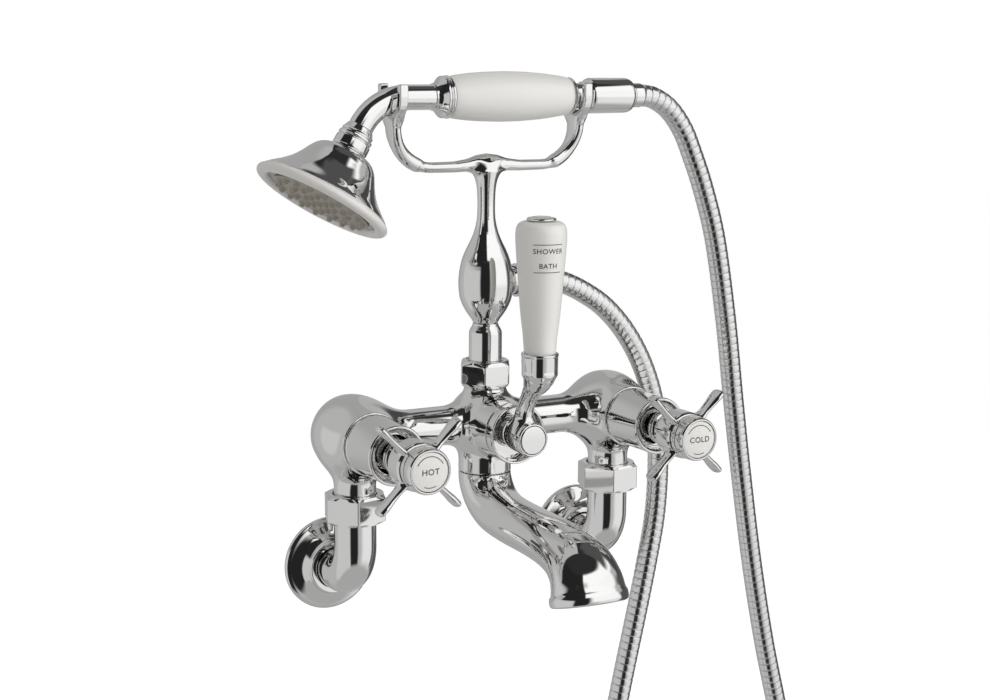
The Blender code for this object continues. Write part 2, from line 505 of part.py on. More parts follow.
def hose_outlet():
    """Nipple screwed into the baluster, flat washer and the hose's lower nut."""
    at = (0, BODY_Y, NIPPLE_Z)
    nipple = ((5.9, 7.0), (5.9, 17.2), (7.6, 17.2), (7.6, 19.4), (8.5, 19.6), (8.5, 26.8), (4.2, 26.8),
              (4.2, 7.0))
    washer = ((8.4, 27.2), (8.4, 28.8), (4.2, 28.8), (4.2, 27.2))
    nut = ((10.0, 19.8), (10.4, 20.6), (10.4, 31.6, 0.8), (9.0, 33.6), (8.2, HOSE_START - GAP),
           (4.6, HOSE_START - GAP), (4.6, 29.2), (8.8, 29.2), (8.8, 19.8))
    solid("hose_nipple", turned(nipple, at, (1, 0, 0), MID), CHROME, looped=True)
    solid("lower_hose_washer", turned(washer, at, (1, 0, 0), SMALL), RUBBER, looped=True)
    solid("lower_hose_nut", turned(nut, at, (1, 0, 0), MID), CHROME, looped=True)


def smooth_route(route, steps=12):
    """Catmull-Rom curve through the route's points."""
    points = [Vector((x, BODY_Y, z)) for x, z in route]
    ends = [points[0] * 2 - points[1]] + points + [points[-1] * 2 - points[-2]]
    dense = []
    for a, b, c, d in zip(ends, ends[1:], ends[2:], ends[3:]):
        for step in range(steps):
            t = step / steps
            dense.append((b * 2 + (c - a) * t + (a * 2 - b * 5 + c * 4 - d) * t * t
                          + (b * 3 - a - c * 3 + d) * t ** 3) / 2)
    return dense + [points[-1]]


def even_points(dense, count):
    """Points at equal distances along a dense line."""
    along = [0.0]
    for a, b in zip(dense, dense[1:]):
        along.append(along[-1] + (b - a).length)
    made = []
    k = 0
    for index in range(count):
        target = along[-1] * index / (count - 1)
        while k < len(along) - 2 and along[k + 1] < target:
            k += 1
        part = (target - along[k]) / (along[k + 1] - along[k])
        made.append(dense[k].lerp(dense[k + 1], min(part, 1.0)))
    return made


def shower_hose():
    curve = bpy.data.curves.new("shower_hose", "CURVE")
    curve.dimensions = "3D"
    curve.bevel_depth = HOSE_R * MM
    curve.bevel_resolution = 2
    curve.use_fill_caps = True
    curve.render_resolution_u = 0
    line = curve.splines.new("POLY")
    points = even_points(smooth_route(HOSE_ROUTE), HOSE_POINTS)
    straight = Vector((HOSE_EXIT, 0, 0))
    points[1:1] = [points[0] + straight]
    points[-1:-1] = [points[-1] + straight]
    line.points.add(len(points) - 1)
    for spot, point in zip(line.points, points):
        spot.co = (*(point * MM), 1.0)
    curve.materials.append(material(CHROME))
    bpy.context.scene.collection.objects.link(bpy.data.objects.new("shower_hose", curve))


def rolled(rings):
    """Roll rings about the hand shower's handle, so that the rose hangs forward a little."""
    axis = Vector((0, BODY_Y, HANDSET_Z))
    turn = Matrix.Translation(axis) @ Matrix.Rotation(-HANDSET_ROLL, 4, "X") @ Matrix.Translation(-axis)
    return [[turn @ point for point in ring] for ring in rings]


def bend_end():
    """End of the bent neck and the direction that the rose faces, before the roll."""
    end = Vector((BEND_X - BEND_R * math.sin(BEND_TURN), BODY_Y,
                  HANDSET_Z - BEND_R + BEND_R * math.cos(BEND_TURN)))
    return end, Vector((-math.cos(BEND_TURN), 0, -math.sin(BEND_TURN)))


def handset_neck(parent):
    """Bent neck with a spigot for the rose, and the tube that runs through the barrel."""
    end, facing = bend_end()
    tube, bore = 4.9, 3.4
    line = [(end + facing * 9.0, 6.2), (end + facing * 0.8, 6.2), (end + facing * 0.8, 7.6)]
    for step in range(7):
        angle = BEND_TURN * (1 - step / 6)
        spot = Vector((BEND_X - BEND_R * math.sin(angle), BODY_Y,
                       HANDSET_Z - BEND_R + BEND_R * math.cos(angle)))
        line.append((spot, NECK_R))
    for x, size in ((-37.8, NECK_R), (-37.8, tube), (66.0, tube)):
        line.append((Vector((x, BODY_Y, HANDSET_Z)), size))
    path = [spot for spot, _ in line]
    outside = swept(path, [(size, size) for _, size in line], (0, 1, 0))
    inside = swept(path, [(bore, bore)] * len(path), (0, 1, 0))
    solid("handset_neck", rolled(outside + inside[::-1]), CHROME, parent, looped=True)


def handset_handle(parent):
    """Porcelain barrel between two turned collars."""
    at = (0, BODY_Y, HANDSET_Z)
    bore = 5.3
    front = ((bore, -37.4), (9.4, -37.4), (10.6, -36.0), (11.8, -33.0), (12.4, -30.6), (11.4, -29.4),
             (12.9, -28.6), (13.0, -26.8), (bore, -26.8))
    barrel = ((bore, -26.4), (12.6, -26.4), (13.4, -20.0), (14.5, -10.0), (15.1, 2.0), (15.3, 14.0),
              (14.9, 26.0), (14.0, 38.0), (12.6, 49.0), (11.6, 56.6), (bore, 56.6))
    rear = ((bore, 57.0), (11.4, 57.0), (11.6, 58.2), (10.6, 59.0), (7.9, 59.4), (7.9, 67.0),
            (9.6, 67.4), (9.6, 69.2), (9.2, 69.6), (9.2, 79.0), (4.6, 79.0), (4.6, 66.4), (bore, 66.4))
    for name, shape, finish in (("front_collar", front, CHROME), ("handset_barrel", barrel, PORCELAIN),
                                ("rear_collar", rear, CHROME)):
        solid(name, turned(shape, at, (1, 0, 0), BIG), finish, parent, looped=True)


def handset_hose_end(parent):
    """Washer, cone nut and ferrule at the hose's upper end."""
    at = (0, BODY_Y, HANDSET_Z)
    nut_end = 101.6
    washer = ((9.0, 79.4), (9.0, 81.0), (4.6, 81.0), (4.6, 79.4))
    nut = ((9.5, 69.9), (10.5, 70.4), (11.1, 72.0), (11.1, nut_end - 1.6, 1.0), (10.0, nut_end),
           (5.0, nut_end), (5.0, 81.4), (9.5, 81.4))
    ferrule = ((4.4, nut_end + GAP), (7.7, nut_end + GAP), (7.7, HOSE_END - GAP - 0.8, 0.5),
               (7.2, HOSE_END - GAP), (4.4, HOSE_END - GAP))
    solid("upper_hose_washer", turned(washer, at, (1, 0, 0), SMALL), RUBBER, parent, looped=True)
    solid("hose_cone_nut", turned(nut, at, (1, 0, 0), BIG), CHROME, parent, looped=True)
    solid("hose_ferrule", turned(ferrule, at, (1, 0, 0), MID), CHROME, parent, looped=True)


def rose(parent):
    """Collar, bell, white rim, spray plate and rubber nozzle mat, turned about the rose's axis."""
    end, facing = bend_end()
    rim = ROSE_DEPTH
    collar = ((8.2, 1.2), (9.4, 4.4), (10.6, 7.4), (10.9, 9.2), (10.9, 15.4), (10.4, 16.6), (6.6, 16.6),
              (6.6, 1.2))
    bell = ((9.8, 16.9), (14.2, 17.7), (17.8, 20.2), (20.4, 23.8), (23.2, 29.2), (25.8, 34.6),
            (29.4, 39.6), (34.4, 44.0), (40.2, rim - 2.6), (37.6, rim - 2.6), (32.6, 44.8), (27.4, 40.6),
            (23.8, 35.8), (21.2, 30.4), (18.4, 25.0), (15.8, 21.6), (12.4, 19.6), (6.0, 19.0), (6.0, 16.9))
    ring = ((37.6, rim - 2.3), (40.8, rim - 2.3), (42.0, rim - 1.4), (ROSE_R, rim), (41.6, rim + 1.6),
            (39.6, rim + 2.6), (36.6, rim + 2.6), (34.8, rim + 1.8), (34.8, rim - 1.2))
    plate = ((33.8, rim - 1.0), (34.4, rim - 0.6), (34.4, rim + 0.6), (33.0, rim + 0.8))
    for name, shape, finish, looped in (
            ("rose_collar", collar, CHROME, True), ("rose_bell", bell, CHROME, True),
            ("rose_rim", ring, PORCELAIN, True), ("spray_plate", plate, PLASTIC, False)):
        sides = MID if name == "rose_collar" else 20
        solid(name, rolled(turned(shape, end, facing, sides)), finish, parent, looped)
    nozzle_mat(parent, end, facing, rim + 1.1)


def nozzle_mat(parent, end, facing, low):
    """Thin rubber mat with four rings of nozzles."""
    disc = ((31.0, low), (31.0, low + 0.8))
    mat = solid("nozzle_mat", rolled(turned(disc, end, facing, BIG)), SILICONE, parent)
    frame = Matrix.Translation(end) @ facing.to_track_quat("Z", "Y").to_matrix().to_4x4()
    peg = ((1.9, low + 0.4), (1.3, low + 3.4))
    pegs = bmesh.new()
    origin = parent.location / MM
    for ring, count in enumerate((1, 6, 12, 18)):
        for index in range(count):
            angle = 2 * math.pi * index / count
            centre = frame @ Vector((9.0 * ring * math.cos(angle), 9.0 * ring * math.sin(angle), 0))
            rings = rolled(turned(peg, centre, facing, 4))
            rows = [[pegs.verts.new((point - origin) * MM) for point in row] for row in rings]
            for k in range(4):
                after = (k + 1) % 4
                pegs.faces.new((rows[0][k], rows[0][after], rows[1][after], rows[1][k]))
            pegs.faces.new(list(reversed(rows[0])))
            pegs.faces.new(rows[1])
    combine(mat, "UNION", [to_object("nozzle_pegs", pegs, SILICONE, parent)])


def main():
    clear_scene()
    mixer_body()
    for side, sign, turn in (("hot", -1, -18.3), ("cold", 1, -19.4)):
        x = sign * CENTRES / 2
        wall_flange(side, x)
        wall_elbow(side, x)
        union_parts(side, x, math.radians(turn - 90.0))
        bonnet(f"{side}_bonnet", x, BONNET_BACK, BONNET_FRONT, 17.8, 8.0)
        valve_inside(side, x)
        valve_moving(side, x, pivot(f"{side}_valve_axis", (x, CAP_FRONT * -0.5, AXIS_Z)))
    diverter_fixed()
    diverter_moving(pivot("diverter_axis", (0, CAP_FRONT * -0.5, AXIS_Z)))
    spout()
    riser()
    cradle()
    hose_outlet()
    shower_hose()
    handset = pivot("handset_lift_line", (0, BODY_Y, HANDSET_Z))
    handset_neck(handset)
    handset_handle(handset)
    handset_hose_end(handset)
    rose(handset)


main()
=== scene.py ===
"""Looks of the wall mounted bath faucet: detailed pieces, materials, light and camera.

Lengths are in millimetres in the frame of the CAD model (+X cold side, +Y into the wall, +Z up) and are
turned into metres where a mesh is made.
"""
import json
from math import ceil, cos, hypot, pi, radians, sin, sqrt

import bmesh
import bpy
import numpy as np
from mathutils import Matrix, Vector


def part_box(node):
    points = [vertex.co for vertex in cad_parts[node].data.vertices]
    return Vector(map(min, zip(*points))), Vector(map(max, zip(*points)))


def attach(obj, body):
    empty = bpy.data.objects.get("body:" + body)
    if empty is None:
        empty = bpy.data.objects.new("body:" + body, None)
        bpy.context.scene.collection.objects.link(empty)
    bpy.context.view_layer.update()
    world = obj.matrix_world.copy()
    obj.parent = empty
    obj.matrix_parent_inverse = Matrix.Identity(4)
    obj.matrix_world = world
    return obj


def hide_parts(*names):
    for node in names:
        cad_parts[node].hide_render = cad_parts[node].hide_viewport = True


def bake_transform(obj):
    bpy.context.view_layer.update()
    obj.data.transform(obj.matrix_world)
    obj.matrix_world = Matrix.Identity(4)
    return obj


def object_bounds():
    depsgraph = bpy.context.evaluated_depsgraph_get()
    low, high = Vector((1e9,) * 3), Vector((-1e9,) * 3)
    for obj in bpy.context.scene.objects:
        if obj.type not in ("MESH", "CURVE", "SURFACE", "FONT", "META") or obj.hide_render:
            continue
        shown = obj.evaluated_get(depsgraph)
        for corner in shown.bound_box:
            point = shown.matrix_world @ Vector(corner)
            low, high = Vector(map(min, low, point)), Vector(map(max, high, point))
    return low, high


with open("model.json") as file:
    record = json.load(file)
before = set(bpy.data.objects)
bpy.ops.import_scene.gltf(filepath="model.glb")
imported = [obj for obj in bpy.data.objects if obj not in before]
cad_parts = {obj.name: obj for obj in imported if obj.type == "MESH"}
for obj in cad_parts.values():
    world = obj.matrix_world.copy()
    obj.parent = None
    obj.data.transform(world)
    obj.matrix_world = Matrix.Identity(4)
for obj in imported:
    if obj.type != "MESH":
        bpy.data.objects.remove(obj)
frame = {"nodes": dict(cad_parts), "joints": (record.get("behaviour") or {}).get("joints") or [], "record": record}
cad_low, cad_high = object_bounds()

MM = 0.001
X, Y, Z = Vector((1, 0, 0)), Vector((0, 1, 0)), Vector((0, 0, 1))
ROUND = 96  # sides of a round piece
JOINTS = {joint["name"]: joint for joint in frame["joints"]}


# ---------- places, read from the frame

def box(node):
    low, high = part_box(node)
    return low / MM, high / MM


def middle(node):
    low, high = box(node)
    return (low + high) / 2


def pivot(joint):
    return Vector(JOINTS[joint]["pos_m"]) / MM


HOT, COLD, DIVERTER = pivot("hot_handle_turn"), pivot("cold_handle_turn"), pivot("diverter_turn")
AXIS_Z = DIVERTER.z  # axis of the crossbar, valves and diverter
BODY_Y = middle("riser_pipe").y  # plane of the crossbar, riser and hand shower
LEG_Y = middle("hot_union_nut").y  # plane of the two legs
HANDSET_Z = middle("handset_barrel").z  # axis of the hand shower's handle
LEVER_Y = middle("lever_grip").y
HOSE_START = box("lower_hose_nut")[1].x + 0.3
HOSE_END = box("hose_ferrule")[1].x + 0.3
SIDES = (("hot", HOT.x), ("cold", COLD.x))


# ---------- camera

CAMERA_AZIMUTH = radians(-28.54)
CAMERA_ELEVATION = radians(9.92)
CAMERA_ROLL = radians(0.41)
CAMERA_DISTANCE = 1.08
CAMERA_LENS = 64.15
AIM = Vector((-0.00345, -0.06, 0.13849))


def configure(thing, **settings):
    for name, value in settings.items():
        setattr(thing, name, value)
    return thing


def put(name, data, **settings):
    """New object in the scene."""
    made = bpy.data.objects.new(name, data)
    bpy.context.scene.collection.objects.link(made)
    return configure(made, **settings)


def camera():
    data = configure(bpy.data.cameras.new("camera"), lens=CAMERA_LENS, sensor_width=36.0, clip_end=50.0)
    turn = (Matrix.Rotation(CAMERA_AZIMUTH, 4, "Z") @ Matrix.Rotation(pi / 2 - CAMERA_ELEVATION, 4, "X")
            @ Matrix.Rotation(CAMERA_ROLL, 4, "Z"))
    place = Matrix.Translation(AIM) @ turn @ Matrix.Translation((0, 0, CAMERA_DISTANCE))
    bpy.context.scene.camera = put("camera", data, matrix_world=place)


# ---------- materials

def fill(node, **values):
    """Set a shader node's sockets by name, with _ for a space."""
    for name, value in values.items():
        node.inputs[name.replace("_", " ")].default_value = value


class Nodes:
    """Small helper that adds and links shader nodes."""

    def __init__(self, tree):
        self.tree = tree

    def add(self, kind, **settings):
        return configure(self.tree.nodes.new(kind), **settings)

    def link(self, source, target):
        self.tree.links.new(source, target)

    def math(self, operation, *values):
        made = self.add("ShaderNodeMath", operation=operation)
        for socket, value in zip(made.inputs, values):
            if isinstance(value, (int, float)):
                socket.default_value = value
            else:
                self.link(value, socket)
        return made.outputs[0]

    def noise(self, where, scale, detail=4.0):
        made = self.add("ShaderNodeTexNoise")
        fill(made, Scale=scale, Detail=detail)
        self.link(where, made.inputs["Vector"])
        return made.outputs["Fac"]

    def spread(self, value, low, high):
        """Map 0.3...0.7 of a noise onto low...high."""
        made = self.add("ShaderNodeMapRange")
        fill(made, From_Min=0.3, From_Max=0.7, To_Min=low, To_Max=high)
        self.link(value, made.inputs["Value"])
        return made.outputs["Result"]


def principled(name, colour, metallic=0.0, roughness=0.3, vary=0.1, grain=900.0, bump=0.02,
               bump_scale=2500.0, coat=0.0, subsurface=0.0, tint=0.03):
    """Principled material whose colour, roughness and height all vary a little with position."""
    material = bpy.data.materials.new(name)
    material.use_nodes = True
    tree = material.node_tree
    n = Nodes(tree)
    shader = tree.nodes["Principled BSDF"]
    where = n.add("ShaderNodeTexCoord").outputs["Object"]
    fill(shader, Metallic=metallic, Coat_Weight=coat, Coat_Roughness=0.06)
    if subsurface:
        fill(shader, Subsurface_Weight=subsurface, Subsurface_Radius=(1.0, 0.9, 0.75), Subsurface_Scale=0.002)
    soft = n.noise(where, grain)
    shade = n.add("ShaderNodeMix", data_type="RGBA")
    fill(shade, A=(*[c * (1 - tint) for c in colour], 1.0), B=(*[min(1.0, c * (1 + tint)) for c in colour], 1.0))
    n.link(n.noise(where, 45.0, 2.0), shade.inputs["Factor"])
    n.link(shade.outputs["Result"], shader.inputs["Base Color"])
    n.link(n.spread(soft, roughness * (1 - vary), roughness * (1 + vary)), shader.inputs["Roughness"])
    if bump:
        height = n.add("ShaderNodeBump")
        fill(height, Strength=bump, Distance=0.0002)
        n.link(n.noise(where, bump_scale, 2.0), height.inputs["Height"])
        n.link(height.outputs["Normal"], shader.inputs["Normal"])
    return material


# For every slot: name, colour, metallic, roughness and how much it varies, grain, bump and its scale,
# coat, subsurface, and how much the colour varies
LOOKS = {
    "chrome": ("chrome_plate", (0.80, 0.795, 0.79), 1.0, 0.045, 0.35, 220.0, 0.012, 60.0),
    "satin": ("satin_chrome", (0.72, 0.715, 0.71), 0.55, 0.22, 0.2, 300.0, 0.02, 300.0),
    "hose": ("hose_strip", (0.74, 0.74, 0.735), 1.0, 0.19, 0.3, 500.0, 0.05, 900.0),
    "porcelain": ("white_glaze", (0.875, 0.86, 0.825), 0.0, 0.34, 0.12, 60.0, 0.02, 130.0, 0.35, 0.12, 0.012),
    "rim": ("rim_glaze", (0.83, 0.81, 0.775), 0.0, 0.38, 0.12, 60.0, 0.02, 130.0, 0.3, 0.12, 0.015),
    "brass": ("turned_brass", (0.72, 0.52, 0.26), 1.0, 0.28, 0.3, 400.0, 0.06, 1500.0),
    "fibre": ("red_fibre", (0.42, 0.16, 0.1), 0.0, 0.8, 0.1, 900.0, 0.3, 2500.0, 0.0, 0.0, 0.2),
    "rubber": ("black_rubber", (0.03, 0.03, 0.03), 0.0, 0.6, 0.15, 900.0, 0.15, 2500.0),
    "ceramic": ("valve_ceramic", (0.8, 0.79, 0.76), 0.0, 0.25, 0.1, 900.0, 0.0),
    "silicone": ("nozzle_silicone", (0.42, 0.385, 0.33), 0.0, 0.5, 0.15, 700.0, 0.15, 1800.0, 0.0, 0.1, 0.06),
    "steel": ("screw_steel", (0.6, 0.6, 0.61), 1.0, 0.24, 0.25, 600.0, 0.05, 2000.0),
    "plate": ("spray_plate", (0.40, 0.40, 0.41), 0.85, 0.24, 0.2, 500.0, 0.03, 1200.0),
    "ink": ("fired_ink", (0.02, 0.02, 0.019), 0.0, 0.45, 0.15, 900.0, 0.05, 2500.0),
}
MATERIALS = {slot: principled(*look) for slot, look in LOOKS.items()}


# ---------- meshes

def curve(points, steps=8):
    """Catmull-Rom curve through points of any dimension, as a list of tuples."""
    points = [np.array(point, float) for point in points]
    ends = [points[0] * 2 - points[1]] + points + [points[-1] * 2 - points[-2]]
    made = []
    for a, b, c, d in zip(ends, ends[1:], ends[2:], ends[3:]):
        for step in range(steps):
            t = step / steps
            made.append(tuple((b * 2 + (c - a) * t + (a * 2 - b * 5 + c * 4 - d) * t * t
                               + (b * 3 - a - c * 3 + d) * t ** 3) / 2))
    return made + [tuple(points[-1])]


def outline(*points, default=0.35, steps=5):
    """Profile with every corner rounded. A point may carry its own rounding as a third value."""
    flat = []
    for point in points:
        flat.extend(point if isinstance(point, list) else [point])
    made = []
    for index, point in enumerate(flat):
        corner = Vector(point[:2])
        reach = 0.0
        if 0 < index < len(flat) - 1:
            back, ahead = (Vector(flat[near][:2]) - corner for near in (index - 1, index + 1))
            reach = min(point[2] if len(point) > 2 else default, back.length * 0.45, ahead.length * 0.45)
        if reach < 0.02 or back.angle(ahead, 0.0) > radians(168):
            made.append(tuple(corner))
            continue
        start, end = corner + back.normalized() * reach, corner + ahead.normalized() * reach
        for step in range(steps + 1):
            u = step / steps
            made.append(tuple(start * (1 - u) ** 2 + corner * 2 * u * (1 - u) + end * u * u))
    return made


def arc(centre, radius, first, last, count):
    """Points of an arc, from one angle to another in degrees."""
    return [(centre[0] + radius * cos(a), centre[1] + radius * sin(a))
            for a in np.radians(np.linspace(first, last, count))]


def new_object(name, node, mesh, body="mixer", slot="chrome", normals=None):
    """Finish a bmesh, or a mesh, into a piece that may stand in for one CAD node."""
    if isinstance(mesh, bmesh.types.BMesh):
        bmesh.ops.recalc_face_normals(mesh, faces=mesh.faces[:])
        data = bpy.data.meshes.new(name)
        mesh.to_mesh(data)
        mesh.free()
        data.shade_smooth()
        data.set_sharp_from_angle(angle=radians(38))
    else:
        data = mesh
        data.shade_smooth()
        if normals is not None:
            data.normals_split_custom_set_from_vertices(normals.tolist())
    data.materials.append(MATERIALS[slot])
    made = put(name, data)
    if body:
        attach(made, body)
    if node:
        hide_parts(node)
    return made


def axis_frame(origin, axis):
    return Matrix.Translation(origin) @ Vector(axis).to_track_quat("Z", "Y").to_matrix().to_4x4()


def revolve(mesh, profile, place, sides=ROUND, radial=None):
    """Turn a profile of (radius, distance along the axis) about the axis of place, and return its rings.

    radial(radius, angle, distance) may change a radius, as for flats.
    """
    rows = []
    for radius, distance in profile:
        if radius <= 1e-6:
            rows.append([mesh.verts.new(place @ Vector((0, 0, distance)) * MM)])
            continue
        row = []
        for side in range(sides):
            angle = 2 * pi * side / sides
            size = radial(radius, angle, distance) if radial else radius
            spot = Vector((size * cos(angle), size * sin(angle), distance))
            row.append(mesh.verts.new(place @ spot * MM))
        rows.append(row)
    skin(mesh, rows, caps=False)
    return rows


def turned(name, node, profile, origin, axis, body="mixer", slot="chrome", sides=ROUND, radial=None, move=None):
    """Turned piece. A profile that starts off the axis makes a ring. move is a last matrix."""
    mesh = bmesh.new()
    place = axis_frame(origin, axis)
    rows = revolve(mesh, profile, place if move is None else move @ place, sides, radial)
    if len(rows[0]) > 1:
        bridge(mesh, rows[-1], rows[0])
    return new_object(name, node, mesh, body, slot)


def bridge(mesh, low, high):
    """Faces between two rings of vertices. Either may be a single point."""
    count = max(len(low), len(high))
    for side in range(count if count > 1 else 0):
        after = (side + 1) % count
        ring = (low[side % len(low)], low[after % len(low)], high[after % len(high)], high[side % len(high)])
        mesh.faces.new(tuple(dict.fromkeys(ring)))


def skin(mesh, rings, caps=True):
    """Faces from each ring of vertices to the next, and over the first and the last."""
    for low, high in zip(rings, rings[1:]):
        bridge(mesh, low, high)
    if caps:
        mesh.faces.new(rings[0])
        mesh.faces.new(rings[-1])


def swept(name, node, stations, normal, body="mixer", slot="chrome", sides=ROUND, move=None, looped=True):
    """Skin stations of (centre, radius) on a flat path. normal is square to the plane of the path."""
    mesh = bmesh.new()
    centres = [Vector(centre) for centre, _ in stations]
    rows = []
    side = None
    for index, (_, size) in enumerate(stations):
        here = centres[index]
        before = next((c for c in reversed(centres[:index]) if (c - here).length > 1e-4), here)
        after = next((c for c in centres[index + 1:] if (c - here).length > 1e-4), here)
        along = after - before
        if before is not here and after is not here and (after - here).dot(here - before) < 0:
            along = here - before
        fresh = along.normalized().cross(normal)
        if side is not None and fresh.dot(side) < 0:
            fresh = -fresh
        side = fresh
        row = []
        for k in range(sides):
            angle = 2 * pi * k / sides
            point = here + normal * size * cos(angle) + side * size * sin(angle)
            row.append(mesh.verts.new((move @ point if move is not None else point) * MM))
        rows.append(row)
    skin(mesh, rows + rows[:1] if looped else rows, caps=not looped)
    return new_object(name, node, mesh, body, slot)


# ---------- cast shapes, as distance fields

def blend(fields, reach):
    """Smooth union: where two shapes meet, the casting fillets them over about this reach."""
    def field(points):
        value = fields[0](points)
        for other in fields[1:]:
            second = other(points)
            share = np.maximum(reach - np.abs(value - second), 0.0) / reach
            value = np.minimum(value, second) - share * share * reach / 4
        return value
    return field


def ball(centre, radius):
    return lambda points: np.linalg.norm(points - np.array(centre), axis=1) - radius


def polar(points, origin, axis):
    """Distance along an axis, and distance from it."""
    offset = points - origin
    along = offset @ axis
    return along, np.linalg.norm(offset - along[:, None] * axis, axis=1)


def rounded(gaps, rounding):
    """Field of a box with rounded edges, from the distances to each pair of its faces."""
    gaps = np.stack(gaps, 1) + rounding
    return np.linalg.norm(np.maximum(gaps, 0), axis=1) + np.minimum(gaps.max(1), 0) - rounding


def to_segment(points, a, b):
    """Where along a...b the nearest place is, as a share, and the distance to it."""
    step = b - a
    share = np.clip((points - a) @ step / max(step @ step, 1e-12), 0, 1)
    return share, np.linalg.norm(points - a - share[:, None] * step, axis=1)


def drum(start, end, radius, rounding):
    """Cylinder with rounded ends."""
    start, end = np.array(start, float), np.array(end, float)
    half = np.linalg.norm(end - start) / 2
    axis = (end - start) / (2 * half)

    def field(points):
        along, out = polar(points, (start + end) / 2, axis)
        return rounded([out - radius, np.abs(along) - half], rounding)
    return field


def lathe(origin, axis, profile):
    """Field of a turned shape. The profile runs from the axis and back to it."""
    origin, axis, corners = (np.array(given, float) for given in (origin, axis, profile))

    def field(points):
        along, out = polar(points, origin, axis)
        nearest = np.full(len(points), np.inf)
        inside = np.zeros(len(points), bool)
        for (r0, t0), (r1, t1) in zip(corners, corners[1:]):
            dr, dt = r1 - r0, t1 - t0
            part = np.clip(((out - r0) * dr + (along - t0) * dt) / max(dr * dr + dt * dt, 1e-12), 0, 1)
            nearest = np.minimum(nearest, np.hypot(out - r0 - part * dr, along - t0 - part * dt))
            if dt:
                crossing = (t0 > along) != (t1 > along)
                inside ^= crossing & (out < r0 + (along - t0) / dt * dr)
        return np.where(inside, -nearest, nearest)
    return field


def rope(stations, squeeze=None):
    """Bar through stations of (x, y, z, radius). squeeze = (direction, factor) widens it in that direction."""
    stations = np.array(stations, float)

    def shrink(values):
        if squeeze is None:
            return values
        direction, factor = np.array(squeeze[0], float), squeeze[1]
        return values - (values @ direction)[:, None] * direction * (1 - 1 / factor)

    line, radii = shrink(stations[:, :3]), stations[:, 3]

    def field(points):
        points = shrink(points)
        value = np.full(len(points), np.inf)
        for a, b, ra, rb in zip(line, line[1:], radii, radii[1:]):
            share, reach = to_segment(points, a, b)
            value = np.minimum(value, reach - (ra + (rb - ra) * share))
        return value
    return field


def slopes(field, points, step=0.03):
    made = np.empty_like(points)
    for axis in range(3):
        nudge = np.zeros(3)
        nudge[axis] = step
        made[:, axis] = (field(points + nudge) - field(points - nudge)) / (2 * step)
    return made


def settle(field, points, rounds):
    """Move points onto the field's zero surface."""
    for _ in range(rounds):
        slope = slopes(field, points)
        square = np.maximum((slope * slope).sum(1), 0.05)
        shift = np.clip(field(points) / square, -1.5, 1.5)
        points = points - shift[:, None] * slope
    return points


def samples(field, low, high, step):
    """Field values on a grid. Only cells near the surface are worked out in full."""
    counts = [int(ceil((h - l) / step / 4)) * 4 + 8 for l, h in zip(low, high)]
    axes = [l - 4 * step + step * np.arange(count) for l, count in zip(low, counts)]
    grid = np.stack(np.meshgrid(*axes, indexing="ij"), -1)
    rough = grid[::4, ::4, ::4]
    values = field(rough.reshape(-1, 3)).reshape(rough.shape[:3])
    for axis in range(3):
        values = np.repeat(values, 4, axis)
    near = np.abs(values) < 9 * step
    values[near] = field(grid[near])
    return grid, values


def cast(name, node, field, low, high, step, body="mixer"):
    """Mesh a field with surface nets, even the mesh out on the surface, and use the field's normals."""
    grid, values = samples(field, low, high, step)
    inside = values < 0
    size = [n - 1 for n in values.shape]
    count = sum(inside[i:i + size[0], j:j + size[1], k:k + size[2]].astype(np.int8)
                for i in (0, 1) for j in (0, 1) for k in (0, 1))
    mixed = (count > 0) & (count < 8)
    number = np.full(mixed.shape, -1)
    number[mixed] = np.arange(mixed.sum())
    points = grid[:-1, :-1, :-1][mixed] + step / 2
    faces = []
    for axis in range(3):
        ahead = np.roll(inside, -1, axis)
        change = inside != ahead
        change[tuple(slice(-1, None) if a == axis else slice(None) for a in range(3))] = False
        i, j, k = np.nonzero(change)
        b, c = [a for a in range(3) if a != axis]
        ring = []
        for db, dc in ((1, 1), (0, 1), (0, 0), (1, 0)):
            cell = [i, j, k]
            cell[b] = cell[b] - db
            cell[c] = cell[c] - dc
            ring.append(number[tuple(cell)])
        quads = np.stack(ring, 1)
        flip = inside[i, j, k] == (axis != 1)
        quads[flip] = quads[flip][:, ::-1]
        faces.append(quads)
    faces = np.concatenate(faces)
    edges = np.concatenate([faces[:, [0, 1]], faces[:, [1, 2]], faces[:, [2, 3]], faces[:, [3, 0]]])
    points = settle(field, points, 3)
    total = np.bincount(edges.ravel(), minlength=len(points))
    for _ in range(4):
        mean = np.stack([np.bincount(edges[:, 0], points[edges[:, 1], a], len(points))
                         + np.bincount(edges[:, 1], points[edges[:, 0], a], len(points))
                         for a in range(3)], 1) / total[:, None]
        points = settle(field, points * 0.4 + mean * 0.6, 1)
    points = settle(field, points, 3)
    slope = slopes(field, points)
    slope /= np.maximum(np.linalg.norm(slope, axis=1), 1e-9)[:, None]
    a, b, c = (points[faces[:, n]] for n in (0, 1, 2))
    if ((np.cross(b - a, c - a) * slope[faces[:, 0]]).sum(1) < 0).mean() > 0.5:
        faces = faces[:, ::-1]
    mesh = bpy.data.meshes.new(name)
    mesh.from_pydata((points * MM).tolist(), [], faces.tolist())
    mesh.update()
    return new_object(name, node, mesh, body, normals=slope)


# ---------- shower hose

